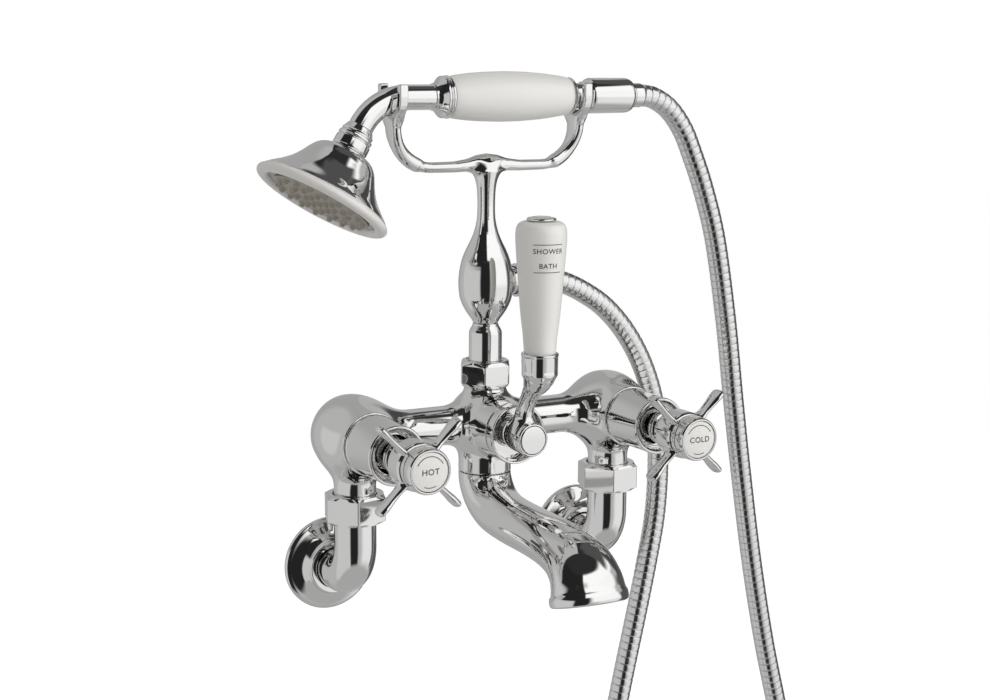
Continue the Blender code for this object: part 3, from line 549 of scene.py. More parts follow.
# The route of part.py's hose, (x, z) in the plane of the riser
HOSE_ROUTE = (
    (46.0, 177.3), (58.5, 173.4), (71.5, 167.0), (85.4, 157.8), (98.6, 144.8), (110.2, 128.8), (119.6, 110.4),
    (126.6, 89.0), (130.4, 64.0), (130.9, 37.0), (129.0, 11.0), (124.2, -16.0), (118.2, -45.0), (105.8, -101.0),
    (99.4, -134.0), (95.2, -170.0), (96.6, -211.0), (105.4, -250.0), (123.5, -282.6), (149.5, -304.0),
    (180.0, -310.4), (210.5, -300.4), (233.5, -276.0), (246.0, -241.0), (248.0, -201.0), (243.4, -163.0),
    (235.8, -134.0), (223.6, -88.0), (211.0, -30.0), (200.4, 29.0), (191.2, 86.0), (183.0, 141.0),
    (172.6, 195.0), (162.0, 229.0), (151.6, 254.0), (143.6, 269.8), (132.8, 282.6), (120.6, 289.8))
HOSE_R = 7.0
RIB_PITCH = 4.9
# Shape of one rib: (share of the pitch, how far below the hose's radius)
RIB = ((0.0, 0.6), (0.06, 0.5), (0.1, 0.07), (0.16, 0.01), (0.5, 0.0), (0.85, 0.04), (0.93, 0.09))


def shower_hose():
    """Metal hose wound from strip: a tube whose radius follows its ribs."""
    start_z = middle("hose_nipple").z
    route = [(HOSE_START, start_z), *HOSE_ROUTE, (HOSE_END, HANDSET_Z)]
    line = np.array([(x, BODY_Y, z) for x, z in curve(route, 24)])
    along = np.concatenate([[0], np.cumsum(np.linalg.norm(np.diff(line, axis=0), axis=1))])
    ribs = round(along[-1] / RIB_PITCH)
    places = [(rib + share) / ribs * along[-1] for rib in range(ribs) for share, _ in RIB] + [along[-1]]
    depths = [depth for _ in range(ribs) for _, depth in RIB] + [RIB[0][1]]
    spots = np.stack([np.interp(places, along, line[:, axis]) for axis in range(3)], 1)
    stations = [(spot, HOSE_R - depth) for spot, depth in zip(spots, depths)]
    hose = swept("hose_strip", "shower_hose", stations, Y, None, "hose", sides=28, looped=False)
    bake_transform(hose)


# ---------- inlets

UNION_TURN = {"hot": radians(-108.3), "cold": radians(-109.4)}


def hexagon(flats, turn, sharpness=110.0):
    """Clamp a radius to a six-sided outline with slightly rounded corners."""
    def radial(radius, angle, _):
        total = sum(max(cos(angle - turn - pi / 6 - k * pi / 3), 0.0) ** sharpness
                    for k in range(6))
        return min(radius, flats / 2 / total ** (1 / sharpness))
    return radial


def wall_flange(side):
    low, high = box(f"{side}_wall_flange")
    size, depth = (high.x - low.x) / 2, high.y - low.y
    dish = curve([(size - 1.9, 4.0), (25.0, 4.9), (21.0, 6.8), (18.3, 9.2), (17.3, 11.0)], 6)
    profile = outline(
        (size - 4.5, 0), (size, 0), (size, 3.0, 1.3), dish, (16.7, depth, 0.9), (13.4, depth, 0.5),
        (12.7, depth - 1.6), (12.7, 9.0), (15.0, 6.4), (24.0, 3.0))
    turned(f"{side}_flange", f"{side}_wall_flange", profile, (middle(f"{side}_wall_flange").x, high.y, 0), -Y)


def wall_elbow(side):
    """Bent inlet with a threaded tail behind the wall and a collar inside the union nut."""
    low, high = box(f"{side}_wall_elbow")
    x = (low.x + high.x) / 2
    size, bend, bore, tail = 12.9, 22.0, 8.4, 10.4
    stations = [((x, high.y, 0), bore), ((x, high.y, 0), 9.2), ((x, high.y - 0.7, 0), 9.7)]
    pitch = 1.8
    for turn in range(11):
        for share, radius in ((0.0, 9.5), (0.4, tail), (0.6, tail)):
            stations.append(((x, high.y - 1.2 - (turn + share) * pitch, 0), radius))
    stations += [((x, 2.0, 0), 9.6), ((x, 0.6, 0), 9.6), ((x, 0.2, 0), size - 0.4), ((x, -0.6, 0), size)]
    path = [(x, *point) for point in arc((LEG_Y + bend, bend), bend, -90, -180, 29)]
    stations += [(centre, size) for centre in path]
    stations += [((x, LEG_Y, high.z + z), radius) for z, radius in
                 ((-2.9, size), (-2.6, size + 0.3), (-2.6, 14.5), (-2.2, 14.8), (-0.3, 14.8), (0, 14.5), (0, bore))]
    inside = [(centre, bore) for centre in path[:0:-1]]
    swept(f"{side}_elbow", f"{side}_wall_elbow", stations + inside, X, sides=72)


def union_nut(side):
    low, high = box(f"{side}_union_nut")
    flats, height, x = 35.2, high.z - low.z, middle(f"{side}_union_nut").x
    corner, face = flats / sqrt(3) + 0.2, flats / 2 - 0.6
    profile = outline(
        (13.2, 0, 0.3), (face, 0, 0.3), (corner, 1.9, 0.2), (corner, height - 1.9, 0.2), (face, height, 0.3),
        (13.9, height, 0.5), (13.3, height - 1.0, 0.2), (13.3, 3.0), (15.0, 3.0), (15.0, 1.2), (13.2, 1.2))
    turned(f"{side}_nut", f"{side}_union_nut", profile, (x, LEG_Y, low.z), Z, sides=240,
           radial=hexagon(flats, UNION_TURN[side]))


# ---------- mixer body

BONNET_BACK = 69.7
DIVERTER_BACK = 75.9


def body_casting():
    """Bulbs, crossbar, stems and centre body, filleted together as one casting."""
    low, high = box("mixer_body")
    bulb = high.x - COLD.x
    seam = -BONNET_BACK
    shapes = []
    bar = rope([(x, BODY_Y, AXIS_Z, 12.2) for x in (HOT.x, 0, COLD.x)])
    post_low, post_top = box("spout")[1].z + 0.3, 112.5
    waist = curve([(16.5, 66), (16.7, 72), (17.6, 80), (18.2, 90), (17.4, 98), (15.4, 104), (13.6, 108.6),
                   (13.0, 111.6)], 4)
    post = lathe((0, BODY_Y, 0), Z, [(0, post_low), (15.9, post_low), (16.5, post_low + 0.6), *waist,
                                     (12.6, post_top), (0, post_top)])
    boss = drum((0, -28, AXIS_Z), (0, -DIVERTER_BACK, AXIS_Z), 18.5, 0.7)
    centre = blend([blend([bar, post], 13.0), boss], 5.0)
    for _, x in SIDES:
        shapes.append(blend([ball((x, BODY_Y + 0.4, AXIS_Z), bulb - 0.7),
                             drum((x, -30, AXIS_Z), (x, seam, AXIS_Z), 19.2, 0.7)], 12.0))
    stems = [lathe((x, LEG_Y, 0), Z, [(0, low.z), (12.4, low.z), (12.8, low.z + 0.4), (12.8, 64),
                                      (13.5, 69), (15.6, 76), (0, 84)])
             for _, x in SIDES]
    with_bulbs = blend([centre, *shapes], 15.0)
    field = blend([with_bulbs, *stems], 9.0)
    cast("body_casting", "mixer_body", field, (HOT.x - bulb, seam - 7, low.z),
         (COLD.x + bulb, high.y, post_top + 1), 1.0)


def bonnet(side, x):
    """Shroud with a dished front, and stepped rings around the spindle."""
    low, high = box(f"{side}_bonnet")
    depth = high.y - low.y
    profile = outline(
        (14.8, -depth), (18.2, -depth, 0.4), (18.5, 1.2 - depth, 0.3), (18.1, 1.9 - depth, 0.2),
        (17.7, -3.4, 1.0), (18.0, -1.0, 0.6), (17.3, 0, 0.6), (16.3, 0, 0.4),
        curve([(15.8, -0.6), (15.2, -1.7), (14.5, -2.3)], 5), (13.9, -2.5, 0.2), (13.9, -3.3, 0.2),
        (13.0, -3.5, 0.3), (13.0, -4.5, 0.2), (11.9, -4.8, 0.2), (11.9, -9.6), (14.8, -9.6))
    turned(f"{side}_shroud", f"{side}_bonnet", profile, (x, low.y, AXIS_Z), -Y)


def diverter_bonnet():
    low, high = box("diverter_bonnet")
    lip = -DIVERTER_BACK - 0.4
    size, front = (high.x - low.x) / 2, high.y - low.y
    back = high.y - lip
    profile = outline(
        (15.7, 0), (15.7, back), (size - 0.7, back, 0.3), (size - 0.2, back + 1.2, 0.4), (size, front - 1.6, 0.8),
        (size - 0.5, front, 0.5), (size - 1.6, front, 0.5),
        curve([(16.6, front - 1.0), (15.2, front - 4.6), (14.2, front - 8.4)], 6), (13.2, 5.0, 0.4), (11.4, 4.0),
        (10.8, 3.0), (10.8, 0))
    turned("diverter_shroud", "diverter_bonnet", profile, (0, high.y, AXIS_Z), -Y)


# ---------- handles

HUB_MIDDLE = -130.5


def handle(side, x, body):
    """Turned hub, and four wings cast with a fillet at their roots."""
    low, high = box(f"{side}_handle")
    depth = high.y - low.y
    profile = outline(
        (0, 0), (8.3, 0), (8.5, 6.4, 0.4), (10.4, 7.2, 0.5), (10.4, 8.6, 0.5), (9.9, 9.0, 0.2), (9.9, 9.8, 0.2),
        (10.9, 10.2, 0.5), (10.9, 12.4, 0.5), (9.3, 13.4, 0.3),
        curve([(9.3, 14.6), (9.9, 17.4), (11.6, 19.8), (13.8, 21.6)], 6), (14.4, 22.4, 0.4), (14.4, 34.2, 0.9),
        (13.5, 35.6, 0.3), (12.7, 36.0, 0.2), (12.7, 37.1, 0.2), (13.5, 37.6, 0.3), (13.5, depth, 0.3),
        (0, depth))
    turned(f"{side}_hub", f"{side}_handle", profile, (x, high.y, AXIS_Z), -Y, body)
    centre = np.array((x, HUB_MIDDLE, AXIS_Z))
    fields = [drum((x, -122.5, AXIS_Z), (x, -131.6, AXIS_Z), 14.25, 0.6)]
    shape = curve([(9.0, 2.5), (15.0, 2.15), (20.0, 1.95), (25.0, 2.1), (30.0, 2.45), (33.4, 2.35)], 4)
    for number in range(4):
        angle = pi / 4 + number * pi / 2
        outward = np.array((cos(angle), 0, sin(angle)))
        fields.append(rope([(*(centre + outward * reach), size) for reach, size in shape], ((0, 1, 0), 2.25)))
    wings = blend([fields[0], lambda points: np.minimum.reduce([field(points) for field in fields[1:]])], 3.2)
    cast(f"{side}_wings", None, wings, centre - (27, 6, 27), centre + (27, 6, 27), 0.7, body)


def index_cap(side, x, body):
    """Chrome bezel around a slightly domed white disc with its word and a fine ring."""
    low, high = box(f"{side}_index_bezel")
    depth = high.y - low.y
    profile = outline(
        (4.6, 0), (13.3, 0, 0.3), (13.4, depth - 2.4, 0.4), (13.0, depth - 0.8, 0.5), (12.4, depth, 0.35),
        (11.75, depth, 0.2), (11.55, depth - 0.6, 0.2), (11.55, 1.6), (4.6, 1.6))
    turned(f"{side}_bezel", f"{side}_index_bezel", profile, (x, high.y, AXIS_Z), -Y, body)
    low, high = box(f"{side}_index_disc")
    edge = -low.y - 1.1

    def dome(radius):
        return edge + 1.0 * (1 - (radius / 11.3) ** 2)

    rings = [(radius, dome(radius)) for radius in (11.1, 10.8, 9.6, 8.0, 6.0, 4.0, 2.0)]
    profile = [(0, -high.y), (11.2, -high.y), (11.35, edge - 1.2), (11.3, edge - 0.2), *rings, (0, dome(0))]
    turned(f"{side}_disc", f"{side}_index_disc", profile, (x, 0, AXIS_Z), -Y, body, "porcelain")

    def onto_disc(point):
        return Vector((x + point.x, -dome(hypot(point.x, point.y)) - 0.03 - point.z,
                       AXIS_Z + point.y))

    lettering(f"{side}_word", side.upper(), 4.9, onto_disc, body)
    for label, first, last in (("upper", 28, 152), ("lower", 246, 294)):
        stroke(f"{side}_{label}_line", arc((0, 0), 8.9, first, last, 40), 0.42, onto_disc, body)


def lettering(name, words, size, onto, body):
    """Flat generic letters laid onto a surface. onto maps (across, up, proud) to a place in the frame."""
    text = configure(bpy.data.curves.new(name, "FONT"), body=words, size=size, align_x="CENTER", align_y="CENTER",
                     extrude=0.03, offset=0.03, resolution_u=4, space_character=1.08)
    holder = put(name + "_text", text)
    bpy.context.view_layer.update()
    data = bpy.data.meshes.new_from_object(holder.evaluated_get(bpy.context.evaluated_depsgraph_get()))
    bpy.data.objects.remove(holder)
    mesh = bmesh.new()
    mesh.from_mesh(data)
    bpy.data.meshes.remove(data)
    bmesh.ops.remove_doubles(mesh, verts=mesh.verts, dist=1e-4)
    long_edges = [edge for edge in mesh.edges if edge.calc_length() > size * 0.25]
    bmesh.ops.subdivide_edges(mesh, edges=long_edges, cuts=3)
    for vert in mesh.verts:
        vert.co = onto(vert.co) * MM
    new_object(name, None, mesh, body, "ink")


def stroke(name, line, width, onto, body):
    """Thin printed line along flat points, laid onto a surface."""
    mesh = bmesh.new()
    rows = []
    for index, spot in enumerate(line):
        before, after = Vector(line[max(index - 1, 0)]), Vector(line[min(index + 1, len(line) - 1)])
        across = (after - before).normalized().orthogonal() * width / 2
        rows.append([mesh.verts.new(onto(Vector((*(Vector(spot) + across * sign), height))) * MM)
                     for sign, height in ((-1, 0.0), (1, 0.0), (1, 0.05), (-1, 0.05))])
    skin(mesh, rows)
    new_object(name, None, mesh, body, "ink")


# ---------- diverter lever

FERRULE_Z = 130.0
GRIP = (
    (9.5, 145.2), (10.3, 155.0), (11.5, 165.0), (12.55, 176.0), (13.4, 187.0), (14.35, 199.0), (15.05, 209.0),
    (15.2, 213.6), (14.9, 217.2), (13.7, 220.2), (11.4, 221.8))


def lever(body):
    hub_back = -box("lever_arm")[1].y
    profile = outline(
        (0, hub_back), (9.4, hub_back, 0.4), (10.0, hub_back + 0.9, 0.4), (10.0, 96.4, 0.4), (9.3, 97.1, 0.2),
        (9.3, 97.9, 0.2), (10.3, 98.5, 0.4), (10.3, 101.6, 0.6), (9.6, 102.4, 0.3), (8.9, 102.4, 0.2),
        (8.8, 101.0), (0, 101.0))
    turned("lever_hub", "lever_arm", profile, (0, 0, AXIS_Z), -Y, body)
    bent = curve([(0, -90.0, 94.0, 7.6), (0, -90.6, 101.0, 6.3), (0, -92.6, 108.0, 5.3), (0, -96.6, 115.0, 5.2),
                  (0, -101.8, 121.5, 6.2), (0, -106.2, 126.6, 8.2), (0, LEVER_Y, FERRULE_Z + 1.6, 9.9)], 6)
    arm = blend([drum((0, -82, AXIS_Z), (0, -95.8, AXIS_Z), 9.85, 0.6), rope(bent)], 5.0)
    arm = blend([arm, drum((0, LEVER_Y, FERRULE_Z + 0.6), (0, LEVER_Y, FERRULE_Z + 10), 10.5, 1.2)], 2.5)
    cast("lever_arm_casting", None, arm, (-14, -122, 78), (14, -78, 143), 0.7, body)
    cup = outline(
        (0, 0.4), (9.6, 0.4, 0.8), (10.75, 1.8, 0.9), (10.9, 12.2, 0.4), (11.2, 13.0, 0.3), (11.2, 14.0, 0.4),
        (10.2, 14.5, 0.3), (9.9, 12.6), (0, 12.6))
    turned("lever_cup", None, cup, (0, LEVER_Y, FERRULE_Z), Z, body)
    cap = outline((0, -1.4), (8.5, -1.4), (8.55, -0.5, 0.25), (8.0, -0.22, 0.2), (4.0, -0.05), (0, 0))
    turned("lever_cap_disc", "lever_cap", cap, (0, box("lever_cap")[0].y, AXIS_Z), -Y, body)
    top = box("lever_grip")[1].z
    grip = outline(
        (0, FERRULE_Z + 12.8), (9.3, FERRULE_Z + 12.8), curve(GRIP, 7), (9.4, top, 0.4), (0, top), default=0.2)
    turned("lever_handle", "lever_grip", grip, (0, LEVER_Y, 0), Z, body, "porcelain")
    button = outline(
        (0, 0), (8.2, 0, 0.2), (8.75, 0.4, 0.3), (8.75, 1.3, 0.4), (8.0, 1.8, 0.3),
        curve([(7.4, 1.9), (4.5, 2.45), (0, 2.6)], 6))
    turned("lever_top_button", "lever_button", button, (0, LEVER_Y, box("lever_button")[0].z), Z, body)
    lever_words(body)


def grip_radius(z):
    return float(np.interp(z, [height for _, height in GRIP], [size for size, _ in GRIP]))


def lever_words(body):
    """The two positions of the lever, between two thin lines, turned a little towards the cold side."""
    turn = radians(-12.0)

    def onto_grip(height):
        def onto(point):
            z = height + point.y
            radius = grip_radius(z) + 0.03 + point.z
            angle = turn + point.x / 14.0
            return Vector((radius * sin(angle), LEVER_Y - radius * cos(angle), z))
        return onto

    lettering("shower_word", "SHOWER", 4.1, onto_grip(205.6), body)
    lettering("bath_word", "BATH", 4.1, onto_grip(197.0), body)
    for label, height in (("upper", 209.6), ("lower", 193.4)):
        line = [(x, 0.0) for x in np.linspace(-8.6, 8.6, 40)]
        stroke(f"lever_{label}_line", line, 0.4, onto_grip(height), body)


# ---------- spout and riser

# Rings of the spout: distance from the wall and height of its front, then of its back, and half width
SPOUT = (
    (57.5, 58.3, 24.5, 58.3, 16.5), (57.8, 57.4, 24.6, 54.6, 16.5), (58.8, 55.6, 25.6, 49.6, 16.6),
    (60.6, 53.9, 28.4, 43.0, 16.6), (63.4, 52.3, 34.0, 35.2, 16.5), (68.0, 51.0, 43.0, 27.8, 16.3),
    (74.0, 50.2, 57.0, 22.2, 16.1), (85.3, 49.4, 80.0, 20.2, 16.2), (108.4, 48.8, 107.6, 20.0, 16.8),
    (131.3, 48.3, 128.7, 18.9, 17.8), (150.7, 46.3, 143.3, 16.1, 19.0), (167.1, 40.9, 150.1, 12.3, 20.6),
    (178.7, 31.0, 150.9, 10.2, 22.0), (184.4, 21.0, 150.4, 8.6, 23.0))
SPOUT_LIP = (
    (185.0, 20.2, 149.9, 8.5, 23.4), (186.2, 18.6, 149.4, 8.1, 24.0), (187.0, 16.6, 149.4, 6.8, 24.2),
    (187.4, 14.9, 149.9, 5.2, 24.2), (187.2, 13.6, 150.7, 4.1, 23.9), (186.6, 12.9, 151.6, 3.5, 23.2),
    (185.0, 12.7, 153.2, 3.8, 21.8), (184.2, 13.4, 153.9, 4.6, 21.2))


def oval(ring, wall=0.0, sides=112):
    front_y, front_z, back_y, back_z, wide = ring
    front, back = Vector((0, -front_y, front_z)), Vector((0, -back_y, back_z))
    centre, deep = (front + back) / 2, (front - back) / 2
    return [centre + X * (wide - wall) * cos(a) + deep * (1 - wall / deep.length) * sin(a)
            for a in (2 * pi * k / sides for k in range(sides))]


def spout():
    """Curved outlet with a flared oval mouth that faces down and a little forward."""
    top = box("spout")[1].z
    seat = (SPOUT[0][0], top, SPOUT[0][2], top, SPOUT[0][4])
    rings = [oval(seat, 12.0), oval(seat, 0.5)] + [oval(ring) for ring in (*curve(SPOUT, 7), *SPOUT_LIP)]
    rings += [oval(ring, 3.2) for ring in curve(SPOUT[:6:-1], 4)] + [oval(SPOUT[7], 11.0)]
    mesh = bmesh.new()
    skin(mesh, [[mesh.verts.new(point * MM) for point in ring] for ring in rings])
    new_object("spout_casting", "spout", mesh)


def riser():
    low, high = box("riser_nut")
    flats, height = 30.0, high.z - low.z
    corner, face = flats / sqrt(3), flats / 2 - 0.4
    profile = outline(
        (12.1, 0), (face - 0.4, 0, 0.4), (corner - 0.2, 3.0, 0.5), (corner - 0.2, height - 3.0, 0.5),
        (face - 0.4, height, 0.6), (12.2, height, 0.4), (11.6, height - 0.6, 0.3), (10.7, height - 0.6),
        (10.7, 6.6), (12.1, 6.6))
    turned("riser_union", "riser_nut", profile, (0, BODY_Y, low.z), Z, sides=240,
           radial=hexagon(flats, radians(-118.5), 60.0))
    low, high = box("riser_pipe")
    base = low.z
    profile = outline(
        (4.6, base), (11.8, base), (11.8, base + 2.1), (10.3, base + 2.1), (10.3, 146.8, 0.8), (9.7, 148.6, 0.5),
        (8.2, 151.0, 0.5), (8.0, 152.5), (6.6, 152.5), (6.6, high.z), (4.6, high.z))
    turned("riser_tube", "riser_pipe", profile, (0, BODY_Y, 0), Z)


# ---------- cradle

FORK_X = 63.0
YOKE_Z = 249.5
FORK_HALF = 13.7
NECK_R = 7.6


def strap(x, path, half_wide, half_thick, top):
    """Flat bar bent along a path of (y, z) at one x, cut level at the top."""
    line = np.array(path, float)

    def field(points):
        near = np.minimum.reduce([to_segment(points[:, 1:], a, b)[1] for a, b in zip(line, line[1:])])
        return rounded([np.abs(points[:, 0] - x) - half_wide, near - half_thick, points[:, 2] - top], 0.8)
    return field


def cradle():
    """Baluster, stem and forked yoke, filleted together as one casting."""
    low, high = box("cradle")
    top = high.z
    belly = curve([
        (8.0, low.z + 0.6), (8.9, 155.0), (11.2, 158.2), (13.9, 162.6), (16.1, 168.2), (16.9, 174.4), (16.9, 180.6),
        (16.1, 187.0), (14.6, 193.0), (12.4, 198.4), (9.9, 203.4), (7.9, 208.2), (6.5, 213.2), (5.6, 219.0),
        (5.45, 228.0), (6.0, 237.0), (7.4, 243.0), (8.4, 246.6)], 3)
    column = lathe((0, BODY_Y, 0), Z, [(0, low.z), (7.6, low.z), *belly, (6.0, 250.6), (0, 251.4)])
    reach = 25.0
    line = [(-FORK_X, 279.4, 3.6), (-FORK_X, 276.0, 3.4)]
    line += [(x, z, 3.25) for x, z in arc((-FORK_X + reach, YOKE_Z + reach), reach, 180, 270, 13)]
    line += [(-22.0, YOKE_Z, 3.4), (-13.0, YOKE_Z + 0.8, 3.9), (-6.0, YOKE_Z + 2.4, 4.5), (0, YOKE_Z + 3.0, 4.7)]
    line += [(-x, z, size) for x, z, size in line[-2::-1]]
    rail = rope([(x, BODY_Y, z, size) for x, z, size in line])
    webs = []
    for end in (-1, 1):
        for edge in (-1, 1):
            web = [(end * FORK_X, BODY_Y + edge * 6.0, 278.6, 2.6), (end * FORK_X, BODY_Y + edge * 5.6, 275.6, 2.6)]
            web += [(end * (FORK_X - reach + reach * cos(a)), BODY_Y + edge * 5.0 * cos(a * 1.3) ** 2,
                     YOKE_Z + reach - reach * sin(a), 2.6) for a in np.linspace(0, radians(66), 9)]
            webs.append(rope(web))
    rail = blend([rail, *webs], 4.0)
    middle_z = HANDSET_Z - NECK_R - 3.0 - 2.3 + FORK_HALF
    forks = []
    for x in (-FORK_X, FORK_X):
        path = [(BODY_Y - FORK_HALF, top + 5.0), *arc((BODY_Y, middle_z), FORK_HALF, 180, 360, 21),
                (BODY_Y + FORK_HALF, top + 5.0)]
        forks.append(strap(x, path, 2.75, 2.25, top))
    field = blend([blend([column, rail], 7.0), *forks], 4.5)
    cast("cradle_casting", "cradle", field, (-FORK_X - 5, BODY_Y - 20, low.z),
         (FORK_X + 5, BODY_Y + 20, top + 0.4), 0.85)


def hose_outlet():
    place = (0, BODY_Y, middle("hose_nipple").z)
    nipple = outline(
        (4.2, 7.0), (5.9, 7.0), (5.9, 16.6), (8.4, 16.9, 0.3), (8.4, 19.2, 0.3), (7.2, 19.4), (8.0, 19.6),
        (8.0, 26.8), (4.2, 26.8))
    turned("outlet_nipple", "hose_nipple", nipple, place, X, sides=64)
    end = box("lower_hose_nut")[1].x
    nut = outline(
        (8.9, 19.8), (9.9, 19.8, 0.4), (10.5, 20.6, 0.3), (10.5, 22.4, 0.3), (10.0, 22.8, 0.2), (10.0, 30.6, 0.4),
        (10.4, 31.0, 0.3), (10.4, 32.2, 0.4), (9.2, 33.4, 0.4), (8.3, end, 0.3), (4.6, end), (4.6, 29.2),
        (8.9, 29.2))
    turned("outlet_nut", "lower_hose_nut", nut, place, X, sides=72)


# ---------- hand shower

BEND_X, BEND_R, BEND_TURN = -54.1, 35.3, 57.9
ROLL = radians(3.9)
HANDSET_AXIS = Vector((0, BODY_Y, HANDSET_Z))
ROLLED = Matrix.Translation(HANDSET_AXIS) @ Matrix.Rotation(-ROLL, 4, "X") @ Matrix.Translation(-HANDSET_AXIS)
BEND = [Vector((x, BODY_Y, z))
        for x, z in arc((BEND_X, HANDSET_Z - BEND_R), BEND_R, 90 + BEND_TURN, 90, 25)]
FACING = Vector((-cos(radians(BEND_TURN)), 0, -sin(radians(BEND_TURN))))
RIM = 50.1  # end of the bent neck to the middle of the rose's rim


def handset_neck(body):
    inside, end = BEND[0] + FACING, Vector((-36.6, BODY_Y, HANDSET_Z))
    stations = [(inside, 4.0), (inside, NECK_R), *((centre, NECK_R) for centre in BEND), (end, NECK_R), (end, 4.0)]
    swept("neck_tube", "handset_neck", stations, Y, body, sides=72, move=ROLLED, looped=False)


def handset_handle(body):
    front = outline(
        (0, -37.5), curve([(8.1, -37.5), (8.5, -36.0), (9.7, -34.0), (11.6, -32.2)], 5), (12.7, -31.4, 0.5),
        (12.7, -30.0, 0.6), (11.5, -29.2, 0.3), (11.5, -28.9, 0.2), (12.9, -28.4, 0.4), (13.0, -27.2, 0.4),
        (12.4, -26.7), (0, -26.7))
    turned("front_ring", "front_collar", front, HANDSET_AXIS, X, body)
    glaze = curve([(12.2, -26.4), (12.9, -23.6), (13.5, -19.6), (14.5, -10.0), (15.1, 2.0), (15.3, 14.0),
                   (14.9, 26.0), (14.0, 38.0), (12.9, 47.0), (12.0, 53.4), (11.2, 56.2)], 8)
    barrel = outline((0, -26.4), glaze, (9.6, 56.7), (0, 56.7))
    turned("barrel_glaze", "handset_barrel", barrel, HANDSET_AXIS, X, body, "porcelain")
    rear = outline(
        (0, 57.0), (11.2, 57.0, 0.3), (11.6, 57.8, 0.3), (10.9, 58.6, 0.3), (9.4, 59.0, 0.3), (9.4, 59.9, 0.3),
        (8.1, 60.5, 0.4), (7.8, 66.4, 0.3), (8.9, 66.9, 0.3), (8.9, 69.4, 0.2), (9.1, 69.6), (9.1, 79.0),
        (0, 79.0))
    turned("rear_ring", "rear_collar", rear, HANDSET_AXIS, X, body)


def handset_hose_end(body):
    start, end = (corner.x for corner in box("hose_cone_nut"))
    cone = curve([(9.6, start), (10.2, start + 0.6), (10.8, start + 1.5), (11.1, start + 2.8)], 4)
    nut = outline((0, start), cone, (11.0, end - 2.6, 1.2), (10.0, end - 0.3, 0.5), (9.2, end, 0.3), (0, end))
    turned("cone_nut", "hose_cone_nut", nut, HANDSET_AXIS, X, body)
    low, high = box("hose_ferrule")
    ferrule = outline(
        (0, low.x), (8.2, low.x, 0.4), (8.2, low.x + 1.2, 0.4), (7.7, low.x + 1.8, 0.3), (7.7, high.x - 1.0, 0.5),
        (7.1, high.x, 0.2), (0, high.x))
    turned("hose_cap", "hose_ferrule", ferrule, HANDSET_AXIS, X, body, sides=64)


def rose(body):
    """Two-ringed collar, bell, fat white rim, plate and soft nozzles."""
    collar = outline(
        (0, 1.0), (7.9, 1.0, 0.3), curve([(8.3, 1.7), (9.0, 3.2), (9.9, 4.9)], 4), (9.5, 5.6, 0.3),
        (9.5, 6.3, 0.3), (10.5, 7.0, 0.4), (10.6, 8.3, 0.4), (9.9, 9.0, 0.3), (9.9, 9.5, 0.2), (10.8, 10.1, 0.5),
        (10.9, 15.4, 0.6), (10.2, 16.7, 0.3), (0, 16.7))
    turned("rose_rings", "rose_collar", collar, BEND[0], FACING, body, move=ROLLED)
    shell = curve([(12.2, 17.4), (15.4, 18.5), (18.2, 20.4), (20.7, 23.5), (22.6, 26.9), (24.8, 30.8),
                   (28.0, 35.3), (32.4, 39.9), (37.4, 44.2), (40.0, RIM - 3.4)], 7)
    bell = outline((0, 16.9), (10.6, 16.9, 0.4), shell, (39.6, RIM - 2.7, 0.3), (0, RIM - 2.7))
    turned("rose_shell", "rose_bell", bell, BEND[0], FACING, body, sides=128, move=ROLLED)
    front = BEND[0] + FACING * RIM
    ring = [(38.5 + 3.85 * cos(a), 3.05 * sin(a) - 0.1) for a in map(radians, range(-128, 141, 12))]
    ring += [(34.7, 0.4), (34.6, -1.2), (35.4, -2.2)]
    turned("rose_ring", "rose_rim", ring, front, FACING, body, "rim", sides=128, move=ROLLED)
    plate = outline((0, -1.0), (34.4, -1.0), (34.4, 0.1, 0.2), (32.4, 0.7, 0.3), (0, 0.8))
    turned("rose_plate", "spray_plate", plate, front, FACING, body, "plate", sides=128, move=ROLLED)
    nozzles(front, body)


def nozzles(front, body):
    """Thin mat and four rings of soft nozzles in one mesh."""
    mesh = bmesh.new()
    place = ROLLED @ axis_frame(front, FACING)
    mat = outline((0, 0.8), (30.4, 0.8), (31.0, 1.2, 0.3), (30.6, 1.8, 0.3), (0, 1.8))
    nozzle = outline(
        (2.5, 1.5), (2.3, 2.1, 0.3), (1.75, 3.0, 0.4), (1.5, 4.2, 0.5), (1.0, 4.5, 0.2), (0.55, 4.4, 0.15),
        (0.45, 3.4), (0, 3.4))
    revolve(mesh, mat, place, 96)
    for ring, count in enumerate((1, 6, 12, 18)):
        for k in range(count):
            angle = 2 * pi * k / count
            spot = Matrix.Translation((9.0 * ring * cos(angle), 9.0 * ring * sin(angle), 0))
            mesh.faces.new(revolve(mesh, nozzle, place @ spot, 16)[0])
    new_object("soft_nozzles", "nozzle_mat", mesh, body, "silicone")


# ---------- light, floor and surroundings

def studio_panel(n, colour, azimuth, elevation, span, level, soft):
    """Mix a rectangle of light with soft edges into the surroundings."""
    masks = []
    for value, edge, sign in zip((azimuth, azimuth, elevation, elevation), span, (1, -1, 1, -1)):
        fade = n.add("ShaderNodeMapRange", interpolation_type="SMOOTHSTEP")
        fill(fade, From_Min=edge - soft * sign, From_Max=edge + soft * sign)
        n.link(value, fade.inputs["Value"])
        masks.append(fade.outputs["Result"])
    mask = n.math("MULTIPLY", n.math("MULTIPLY", masks[0], masks[1]), n.math("MULTIPLY", masks[2], masks[3]))
    mix = n.add("ShaderNodeMix", data_type="RGBA")
    n.link(mask, mix.inputs["Factor"])
    n.link(colour, mix.inputs["A"])
    fill(mix, B=(level, level, level, 1.0))
    return mix.outputs["Result"]


